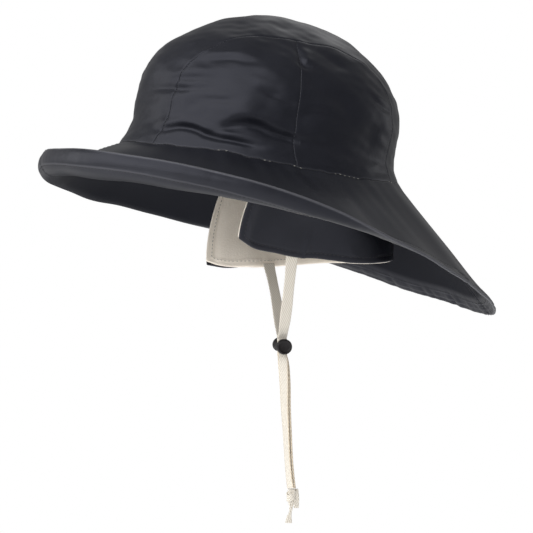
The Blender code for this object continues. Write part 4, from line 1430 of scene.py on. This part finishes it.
@dataclass
class EarFlap:
    """The dark outer layer and the flannel lining of the ear flap. Sizes are in millimetres."""

    form: CrownForm
    wall: float = 1.1
    lining_wall: float = 1.4
    gap: float = 0.3
    cad_wall: float = 1.2
    tuck: float = 1.6
    inset: float = 1.6
    hem: float = 4.2
    stitch_pitch: float = 3.2
    hollow: float = 0.26
    scallop: float = 0.24
    hollow_half: float = 0.9
    hem_rise: float = 0.16
    hem_softness: float = 0.5
    front_roll: float = 1.1
    roll: tuple[float, float] = (6.5, 4.2)
    most_relief: float = 0.9
    slant_power: float = 1.6
    pull_power: float = 1.3
    flat: tuple[float, float] = (0.372, 0.066)
    area: float = 0.0209
    around: int = 470
    down: int = 54

    def __post_init__(self) -> None:
        """Spread the places round the flap, and make its unevenness."""
        first, last = FLAP_ROWS[0][0], FLAP_ROWS[-1][0]
        self.places = first + (last - first) * closer_at_ends(self.around, 0.25)
        self.waves = Waves(31, 24.0, 70.0, 0.5)

    def face(self, longer: np.ndarray) -> np.ndarray:
        """Points of the outer layer's outer face, hung plumb.

        Args:
            longer: how much further down its edge hangs, at each place round it.

        Returns:
            A grid from the left front edge round the back to the right one, top to bottom.
        """
        curves = [smooth_curve(FLAP_ROWS, column) for column in range(1, 4)]
        places = self.places
        mirror = np.where(places <= 180.0, 1.0, -1.0)
        folded = np.where(places <= 180.0, places, 360.0 - places)
        depth, pull, slant = (curve(places)[:, None] for curve in curves)
        top = self.form.seam_point(np.radians(folded), self.tuck)
        top[:, 2] = self.form.seam_curve(top[:, 1]) + self.tuck
        outward = self.form.normals(top) * (1.0, 1.0, 0.0)
        outward /= np.linalg.norm(outward, axis=-1, keepdims=True)
        top = pitched(top - outward * self.inset)
        drop = closer_at_ends(self.down, 0.35)[None, :] * (depth + self.tuck + longer[:, None])
        share = np.minimum(drop / (depth + self.tuck), 1.0)
        grid = top[:, None] - outward[:, None] * (pull * share**self.pull_power)[..., None]
        grid[..., 1] += slant * (1.0 - np.maximum(1.0 - share, 0.0) ** self.slant_power)
        grid[..., 2] -= drop
        grid[..., 0] *= mirror[:, None]
        return grid

    def relief(self, grid: np.ndarray) -> np.ndarray:
        """How far the layers stand out: the stitched hem's groove, its puckers and soft unevenness."""
        rows, columns = run_along(grid, 0), run_along(grid, 1)
        to_edge = columns[:, -1:] - columns
        run = rows[:, -1:]
        to_front = np.minimum(run, run[-1] - run)
        inside = np.minimum(to_edge, to_front)
        along = np.where(to_edge < to_front, run, columns)
        scallop = 0.5 - 0.5 * np.cos(TURN * along / self.stitch_pitch)
        roll_at, roll_half = self.roll
        height = -(self.hollow + self.scallop * scallop) * hump(inside - self.hem, self.hollow_half)
        height = height + self.hem_rise * soft_step(inside - self.hem, self.hem_softness)
        height = height + self.front_roll * hump(to_front - roll_at, roll_half)
        height += self.waves.at(grid) * np.clip(columns / 12.0, 0.0, 1.0)
        for angle, rise, half_width, reach in PUCKER_ROWS:
            middle = np.interp(angle, self.places, run[:, 0])
            height += rise * hump(run - middle, half_width) * hump(to_edge - self.hem, reach)
        return height

    def painted_edge_highlight(self, grid: np.ndarray) -> np.ndarray:
        """How much paler the coat is painted, as highlight: on the fold of the outer layer's edge, and near
        its front edges.
        """
        rows, columns = run_along(grid, 0), run_along(grid, 1)
        to_front = np.minimum(rows, rows[-1:] - rows)
        inside = np.minimum(columns[:, -1:] - columns, to_front)
        # Painted highlight: a thin pale line on the folded edge, and a soft pale band about 7 mm in from
        # each front edge.
        return 0.1 * hump(inside, 0.7) + 0.05 * hump(to_front - 7.0, 3.5)

    def hem_line(self, grid: np.ndarray, wall: float, face: Face) -> Seam:
        """The hem's stitching: down one front edge, along the bottom and up the other."""
        rows, columns = run_along(grid, 0), run_along(grid, 1)
        run = rows[:, -1]
        start, end = np.interp((self.hem, run[-1] - self.hem), run, np.arange(len(run)))
        along = np.linspace(start, end, 3 * self.around)
        depth = sample(columns, along, columns.shape[1] - 1) - self.hem
        steps = np.arange(columns.shape[1])
        bottom = np.array([np.interp(reach, columns[int(round(place))], steps)
                           for place, reach in zip(along, depth)])
        down = np.linspace(8.0, bottom[0], self.down)
        up = np.linspace(bottom[-1], 8.0, self.down)
        places = np.concatenate((np.full(self.down - 1, start), along, np.full(self.down - 1, end)))
        return line_on(grid, wall, places, np.concatenate((down[:-1], bottom, up[1:])), face)

    def build(self, cloth: bpy.types.Material, flannel: bpy.types.Material) -> tuple[Seam, Seam]:
        """Make both layers.

        Args:
            cloth: the outer layer's finish.
            flannel: the lining's finish.

        Returns:
            The hem's stitching as it shows on the outer layer and on the lining.
        """
        outer = self.face(np.zeros(self.around))
        relief = self.relief(outer)[..., None]
        lining = self.face(smooth_curve(LINING_ROWS, 1)(self.places))
        lining = lining - grid_normals(lining) * (self.cad_wall + self.gap)
        # The layers are sewn together, so their hollows and puckers lie on each other.
        outer = outer + grid_normals(outer) * np.minimum(relief, self.most_relief)
        lining = lining + grid_normals(lining) * (np.minimum(relief, 0.0) + 0.8 * np.maximum(relief, 0.0))
        mesh = cloth_mesh("flap_outer", outer, self.wall, painted_highlight=self.painted_edge_highlight(outer))
        piece = place("flap_outer", mesh, cloth, "coated_cloth", ["ear_flap_outer"])
        piece = place("flap_lining", cloth_mesh("flap_lining", lining, self.lining_wall), flannel, "flannel",
                      ["ear_flap_lining"])
        return (self.hem_line(outer, self.wall, Face.OUTER),
                self.hem_line(lining, self.lining_wall, Face.INNER))


def ribbon(centres: np.ndarray, across: np.ndarray, face: np.ndarray, width: np.ndarray,
           thickness: float) -> tuple[np.ndarray, list[tuple[int, ...]], np.ndarray]:
    """A closed length of tape with soft selvedges, in metres.

    Args:
        centres: points of its centre line.
        across: unit directions across it.
        face: unit directions out of its face.
        width: its width at each point.
        thickness: its thickness.

    Returns:
        Its points, its faces and the place across the tape of each point of a ring, from -1 to 1.
    """
    places = np.array([-1.0, -0.96, -0.8, -0.4, 0.0, 0.4, 0.8, 0.96, 1.0])
    heights = np.array([0.0, 0.8, 1.0, 0.9, 0.88, 0.9, 1.0, 0.8, 0.0])
    loop_places = np.concatenate((places, places[-2:0:-1]))
    loop_heights = np.concatenate((heights, -heights[-2:0:-1]))
    rings, ring = len(centres), len(loop_places)
    points = (centres[:, None] + across[:, None] * (loop_places * 0.5)[None, :, None] * width[:, None, None]
              + face[:, None] * (loop_heights * 0.5 * thickness)[None, :, None])
    index = np.arange(rings * ring).reshape(rings, ring)
    after = np.roll(index, -1, axis=1)
    faces = [(index[row, step], after[row, step], after[row + 1, step], index[row + 1, step])
             for row in range(rings - 1) for step in range(ring)]
    faces += [tuple(index[0, ::-1]), tuple(index[-1])]
    return points.reshape(-1, 3), faces, loop_places


def woven_on(mesh: bpy.types.Mesh, flat: np.ndarray) -> None:
    """Give a tape's mesh its flat places in metres, across and along, as the UV map "tape"."""
    layer = mesh.uv_layers.new(name="tape")
    corners = np.empty(len(mesh.loops), dtype=int)
    mesh.loops.foreach_get("vertex_index", corners)
    layer.data.foreach_set("uv", flat.reshape(-1, 2)[corners].ravel())


# Lengths of tape in the knot, with their thickness in metres: the gathered core, the folded end that stands
# out on its rear side, and the narrow stretch with the flared cut end.
KNOT_BANDS = (
    ((
        # x, y, z, width
        (0.0, 0.0247, -0.2446, 0.0052),
        (0.0, 0.0247, -0.2500, 0.0050),
        (0.0, 0.0245, -0.2560, 0.0042),
    ), 0.0034),
    ((
        # x, y, z, width
        (0.0009, 0.0282, -0.2586, 0.0038),
        (0.0012, 0.0282, -0.2520, 0.0042),
        (0.0008, 0.0280, -0.2463, 0.0040),
        (0.0, 0.0279, -0.2450, 0.0038),
        (-0.0008, 0.0280, -0.2463, 0.0040),
        (-0.0010, 0.0280, -0.2550, 0.0040),
    ), 0.0011),
    ((
        # x, y, z, width
        (0.0, 0.0246, -0.2550, 0.0036),
        (0.0, 0.0243, -0.2590, 0.0024),
        (0.0002, 0.0236, -0.2625, 0.0021),
        (0.0004, 0.0228, -0.2655, 0.0038),
        (0.0, 0.0224, -0.2697, 0.0052),
    ), 0.0015),
)


@dataclass
class ChinTape:
    """The two chin tapes and their knot. Sizes are in metres."""

    thickness: float = 0.0011
    width: float = 0.009
    rings: int = 180

    def route(self, side: Side) -> tuple[np.ndarray, np.ndarray, np.ndarray, np.ndarray]:
        """The tape's centre line, its directions across and out of its face, and its widths."""
        places = np.linspace(0.0, 1.0, len(TAPE_ROWS))
        rows = [(place_at, *row) for place_at, row in zip(places, TAPE_ROWS)]
        shares = np.linspace(0.0, 1.0, self.rings)
        curves = (smooth_curve(rows, column)(shares) for column in range(1, 8))
        x, y, z, turn, width, right_y, right_z = curves
        if side is Side.RIGHT:
            y, z = y + right_y, z + right_z
        turn = np.radians(turn)
        centres = np.stack((side.value * x * np.sin(turn), y - side.value * x * np.cos(turn), z), axis=-1)
        tangents = unit(np.gradient(centres, axis=0))
        across = np.stack((np.cos(turn), np.sin(turn), 0 * turn), axis=-1)
        across = unit(across - tangents * (across * tangents).sum(-1, keepdims=True))
        return centres, across, np.cross(tangents, across), width

    def tape(self, side: Side, cotton: bpy.types.Material) -> tuple[bpy.types.Object, np.ndarray]:
        """Make one tape.

        Args:
            side: which tape.
            cotton: its finish.

        Returns:
            The tape's object and its centre line.
        """
        centres, across, face, width = self.route(side)
        points, faces, places = ribbon(centres, across, face, width, self.thickness)
        name = f"tape_{side.word}"
        mesh = closed_mesh(name, points, faces)
        run = run_along(centres, 0)
        woven_on(mesh, np.stack(np.broadcast_arrays(places[None] * self.width / 2, run[:, None]), axis=-1))
        return place(name, mesh, cotton, "cotton_tape", [f"chin_tape_{side.word}"]), centres

    def knot_bands(self) -> list[tuple[np.ndarray, np.ndarray, np.ndarray, float]]:
        """The knot's lengths of tape: centre line, direction across, widths and thickness of each."""
        turn = np.linspace(0.3 * math.pi, 2.9 * math.pi, 90)
        swell = np.linspace(-0.0003, 0.0003, len(turn))
        middle_y, middle_z = 0.0246, -0.2492
        wrap = np.stack(((0.0023 + swell) * np.cos(turn), middle_y + (0.0031 + swell) * np.sin(turn),
                         middle_z + 0.0016 * np.sin(turn) - 0.0012 * np.cos(turn)), axis=-1)
        bands = [(wrap, np.array((0.0, 0.0, 1.0)), np.full(len(turn), 0.0052), 0.001)]
        for rows, thickness in KNOT_BANDS:
            numbered = [(step, *row) for step, row in enumerate(rows)]
            steps = np.linspace(0.0, len(rows) - 1.0, 40)
            x, y, z, width = (smooth_curve(numbered, column)(steps) for column in range(1, 5))
            bands.append((np.stack((x, y, z), axis=-1), np.array((0.0, 1.0, 0.0)), width, thickness))
        return bands

    def knot(self, cotton: bpy.types.Material) -> bpy.types.Object:
        """Make the knot: a wrapped turn of tape, a folded end beside it and the cut ends below."""
        points, faces, flat = [], [], []
        for centres, across, width, thickness in self.knot_bands():
            tangents = unit(np.gradient(centres, axis=0))
            wide = unit(across - tangents * (tangents @ across)[:, None])
            band, band_faces, places = ribbon(centres, wide, np.cross(tangents, wide), width, thickness)
            start = sum(len(part) for part in points)
            faces += [tuple(start + corner for corner in face) for face in band_faces]
            spots = np.broadcast_arrays(places * width[:, None] / 2, run_along(centres, 0)[:, None])
            flat.append(np.stack(spots, axis=-1).reshape(-1, 2))
            points.append(band)
        mesh = closed_mesh("knot", np.concatenate(points), faces)
        woven_on(mesh, np.concatenate(flat))
        return place("knot", mesh, cotton, "cotton_tape", ["tape_knot"])

    def build(self, cotton: bpy.types.Material, lock_pieces: Sequence[bpy.types.Object]) -> None:
        """Make the tapes and the knot."""
        knot = self.knot(cotton)
        for side in Side:
            piece, centres = self.tape(side, cotton)


@dataclass
class CordLock:
    """The toggle that grips both tapes: a slotted barrel and its button. Sizes are in millimetres."""

    place_y: float = 17.4
    place_z: float = -137.0
    tilt: float = math.radians(5.5)
    barrel_radius: float = 5.3
    waist_radius: float = 4.75
    slot_halves: tuple[float, float, float] = (2.1, 4.2, 10.6)
    barrel_ends: tuple[float, float] = (-9.5, 4.5)
    button_radius: float = 5.8
    button_ends: tuple[float, float] = (4.8, 8.8)
    steps: int = 64

    def turned(self, name: str, profile: Sequence[tuple[float, float]]) -> bpy.types.Mesh:
        """A round piece about the lock's axis, in its place.

        Args:
            name: the mesh's name.
            profile: rows of place along the axis and radius, from axis to axis.

        Returns:
            The mesh.
        """
        cos, sin = math.cos(self.tilt), math.sin(self.tilt)
        points, faces, rings = [], [], []
        for along, radius in profile:
            count = 1 if radius < SMALL else self.steps
            rings.append(list(range(len(points), len(points) + count)))
            for step in range(count):
                turn = TURN * step / self.steps
                y, up = radius * math.cos(turn), radius * math.sin(turn)
                points.append((along * cos + up * sin, self.place_y + y,
                               self.place_z - along * sin + up * cos))
        for first, second in zip(rings, rings[1:]):
            for step in range(self.steps):
                after = (step + 1) % self.steps
                face = [first[step % len(first)], first[after % len(first)],
                        second[after % len(second)], second[step % len(second)]]
                faces.append(list(dict.fromkeys(face)))
        return closed_mesh(name, np.array(points) * MM, faces)

    def slotted(self, mesh: bpy.types.Mesh) -> bpy.types.Mesh:
        """The barrel with the slot that the tapes run through cut out of it."""
        build = bmesh.new()
        sizes = Matrix.Diagonal((*(2.0 * half * MM for half in self.slot_halves), 1.0))
        bmesh.ops.create_cube(build, size=1.0, matrix=sizes)
        cutter_mesh = bpy.data.meshes.new("slot_cutter")
        build.to_mesh(cutter_mesh)
        build.free()
        cutter = bpy.data.objects.new("slot_cutter", cutter_mesh)
        cutter.location = (0.0, self.place_y * MM, self.place_z * MM)
        barrel = bpy.data.objects.new("barrel_blank", mesh)
        for obj in (cutter, barrel):
            bpy.context.scene.collection.objects.link(obj)
        cut = barrel.modifiers.new("slot", "BOOLEAN")
        cut.operation = "DIFFERENCE"
        cut.solver = "EXACT"
        cut.object = cutter
        graph = bpy.context.evaluated_depsgraph_get()
        slotted = bpy.data.meshes.new_from_object(barrel.evaluated_get(graph))
        barrel.modifiers.remove(cut)
        for obj in (cutter, barrel):
            bpy.data.objects.remove(obj)
        slotted.name = "lock_barrel"
        return slotted

    def build(self, plastic: bpy.types.Material) -> list[bpy.types.Object]:
        """Make the waisted barrel and the button."""
        back, front = self.barrel_ends
        outer, waist = self.barrel_radius, self.waist_radius
        profile = (
            (back, 0.0), (back, outer - 1.6), (back + 0.15, outer - 0.6), (back + 0.5, outer - 0.15),
            (back + 1.0, outer), (back + 1.9, outer), (back + 2.4, outer - 0.25),
            (back + 3.0, waist + 0.15), (back + 3.6, waist), (front - 3.0, waist),
            (front - 2.2, waist + 0.2), (front - 1.6, outer - 0.2), (front - 1.2, outer),
            (front - 0.3, outer), (front, outer - 0.3), (front, 0.0),
        )
        barrel = place("lock_barrel", self.slotted(self.turned("barrel", profile)), plastic, "black_plastic",
                       ["cord_lock_barrel"])
        start, end = self.button_ends
        radius = self.button_radius
        profile = (
            (start, 0.0), (start, radius - 0.5), (start + 0.15, radius - 0.15), (start + 0.5, radius),
            (end - 1.0, radius), (end - 0.45, radius - 0.15), (end - 0.12, radius - 0.55),
            (end, radius - 1.0), (end - 0.1, radius - 1.4), (end - 0.6, radius - 1.7),
            (end - 0.8, radius - 2.2), (end - 0.75, 0.0),
        )
        button = place("lock_button", self.turned("lock_button", profile), plastic, "black_plastic",
                       ["cord_lock_button"])
        return [button, barrel]


# Soft boxes, by their angle round the hat from its front and above it in degrees, distance and side in
# metres, and power in watts.
LAMP_ROWS = (
    # name, azimuth, elevation, distance, size, power
    ("key", 44.0, 35.0, 2.0, 2.8, 58.0),
    ("front", -14.0, 18.0, 2.0, 1.4, 9.0),
    ("low", 12.0, -34.0, 0.9, 0.6, 0.9),
    ("behind", 188.0, 10.0, 2.0, 0.8, 1.8),
    ("above", 238.0, 46.0, 2.0, 0.9, 2.2),
)


@dataclass
class Studio:
    """Camera, floor and light, as for a catalogue photograph. Sizes are in metres."""

    target: tuple[float, float, float] = (-0.00044, 0.00552, -0.0776)
    azimuth: float = math.radians(76.0)
    elevation: float = math.radians(-1.3)
    distance: float = 1.2
    picture_width: float = 0.39975
    sensor: float = 36.0
    floor_height: float = -0.62
    floor_radius: float = 4.0
    room_light: float = 0.34
    floor_light: float = 0.3
    glow_radius: tuple[float, float] = (0.5, 1.1)

    def direction(self, azimuth: float, elevation: float) -> Vector:
        """The direction from the hat at these angles. Azimuth 0 is in front of it."""
        flat = math.cos(elevation)
        return Vector((flat * math.sin(azimuth), -flat * math.cos(azimuth), math.sin(elevation)))

    def camera(self) -> None:
        """Put the camera at the photograph's angle."""
        data = bpy.data.cameras.new("camera")
        data.sensor_width = self.sensor
        data.lens = self.sensor * self.distance / self.picture_width
        camera = bpy.data.objects.new("camera", data)
        away = self.direction(self.azimuth, self.elevation)
        camera.location = Vector(self.target) + away * self.distance
        camera.rotation_euler = away.to_track_quat("Z", "Y").to_euler()
        bpy.context.scene.collection.objects.link(camera)
        bpy.context.scene.camera = camera

    def white_to_eye(self, tree: bpy.types.NodeTree, lit: bpy.types.NodeSocket) -> bpy.types.NodeSocket:
        """The backdrop, burnt out to white where it is looked at straight, as catalogue pictures have it.

        Args:
            tree: the backdrop's node tree.
            lit: the shader that the hat's light comes from.

        Returns:
            The mixed shader's output.
        """
        path = add_node(tree, "ShaderNodeLightPath")
        kind = "ShaderNodeBackground" if "World Output" in tree.nodes else "ShaderNodeEmission"
        white = add_node(tree, kind, values={"Color": WHITE, "Strength": 1.0})
        mixed = add_node(tree, "ShaderNodeMixShader",
                         links={0: path.outputs["Is Camera Ray"], 1: lit, 2: white.outputs[0]})
        return mixed.outputs["Shader"]

    def floor(self) -> None:
        """A wide pale floor, which isn't part of the hat."""
        build = bmesh.new()
        bmesh.ops.create_circle(build, cap_ends=True, cap_tris=True, segments=64, radius=self.floor_radius)
        mesh = bpy.data.meshes.new("floor")
        build.to_mesh(mesh)
        build.free()
        mesh.transform(Matrix.Translation((0.0, 0.0, self.floor_height)))
        material, tree, shader = blank_material("matt_white_board")
        set_values(shader, {"Base Color": linear_colour("#f4f4f4"), "Roughness": 0.9,
                            "Emission Color": WHITE})
        place_on = add_node(tree, "ShaderNodeTexCoord").outputs["Object"]
        middle = add_node(tree, "ShaderNodeVectorMath", settings={"operation": "DISTANCE"},
                          values={1: (0.0, 0.0, self.floor_height)}, links={0: place_on})
        glow = add_node(tree, "ShaderNodeMapRange", links={"Value": middle.outputs["Value"]},
                        values={"From Min": self.glow_radius[0], "From Max": self.glow_radius[1],
                                "To Min": self.floor_light, "To Max": 0.0})
        tree.links.new(glow.outputs["Result"], shader.inputs["Emission Strength"])
        seen = self.white_to_eye(tree, shader.outputs["BSDF"])
        tree.links.new(seen, tree.nodes["Material Output"].inputs["Surface"])
        mesh.materials.append(material)
        floor = bpy.data.objects.new("floor", mesh)
        bpy.context.scene.collection.objects.link(floor)

    def lamp(self, name: str, azimuth: float, elevation: float, distance: float, size: float,
             power: float) -> None:
        """A square soft box that looks at the hat.

        Args:
            name: the lamp's name.
            azimuth: its angle round the hat, in degrees.
            elevation: its angle above the hat, in degrees.
            distance: its distance in metres.
            size: its side in metres.
            power: its power in watts.
        """
        data = bpy.data.lights.new(name, "AREA")
        data.energy = power
        data.size = size
        lamp = bpy.data.objects.new(name, data)
        away = self.direction(math.radians(azimuth), math.radians(elevation))
        lamp.location = Vector(self.target) + away * distance
        lamp.rotation_euler = away.to_track_quat("Z", "Y").to_euler()
        bpy.context.scene.collection.objects.link(lamp)

    def light(self) -> None:
        """A large soft box from the front left and smaller ones round the hat, in a dim room."""
        world = bpy.data.worlds.new("pale_room")
        world.use_nodes = True
        tree = world.node_tree
        room = tree.nodes["Background"]
        set_values(room, {"Color": WHITE, "Strength": self.room_light})
        seen = self.white_to_eye(tree, room.outputs["Background"])
        tree.links.new(seen, tree.nodes["World Output"].inputs["Surface"])
        bpy.context.scene.world = world
        for row in LAMP_ROWS:
            self.lamp(*row)
        # The plain sRGB curve keeps the white backdrop white and the dark cloth dark.
        bpy.context.scene.view_settings.view_transform = "Standard"


def main() -> None:
    """Build the scene piece by piece."""
    logging.basicConfig(level=logging.INFO, format="%(name)s: %(message)s")
    studio = Studio()
    studio.camera()
    cotton = TwillTape().material()
    plastic = MouldedPlastic().material()
    lock_pieces = CordLock().build(plastic)
    ChinTape().build(cotton, lock_pieces)
    cloth = CoatedCloth().material()
    flannel = Flannel().material()
    form = CrownForm()
    crown = Crown(form)
    crown.build(cloth)
    brim_lines = Brim(form).build(cloth)
    outer_hem, lining_hem = EarFlap(form).build(cloth, flannel)
    black, grey, tan = (SewingThread(name, colour).material() for name, colour in (
        ("black_polyester_thread", "#1c1c1f"), ("grey_polyester_thread", "#3f4045"),
        ("tan_cotton_thread", "#9c9992")))
    tree = stitch_tree()
    for name, seams, thread, slot, seed, sizes in (
        ("brim_stitches", brim_lines, black, "coated_cloth", 3, (3.0, 2.3, 0.5, 0.36)),
        ("flap_stitches", [outer_hem], black, "coated_cloth", 4, (3.2, 2.3, 0.6, 0.4)),
        ("panel_stitches", crown.panel_seams(), grey, "coated_cloth", 5, (2.6, 1.7, 0.3, 0.3)),
        ("lining_stitches", [lining_hem], tan, "flannel", 6, (3.2, 2.2, 0.5, 0.4)),
        ("brim_seam_thread", crown.bare_thread(), tan, "coated_cloth", 7, (3.6, 1.6, 0.4, 0.3)),
    ):
        Sewing(*sizes, tree).sew(name, seams, thread, slot, seed)
    studio.floor()
    studio.light()


if __name__ == "__main__":
    main()
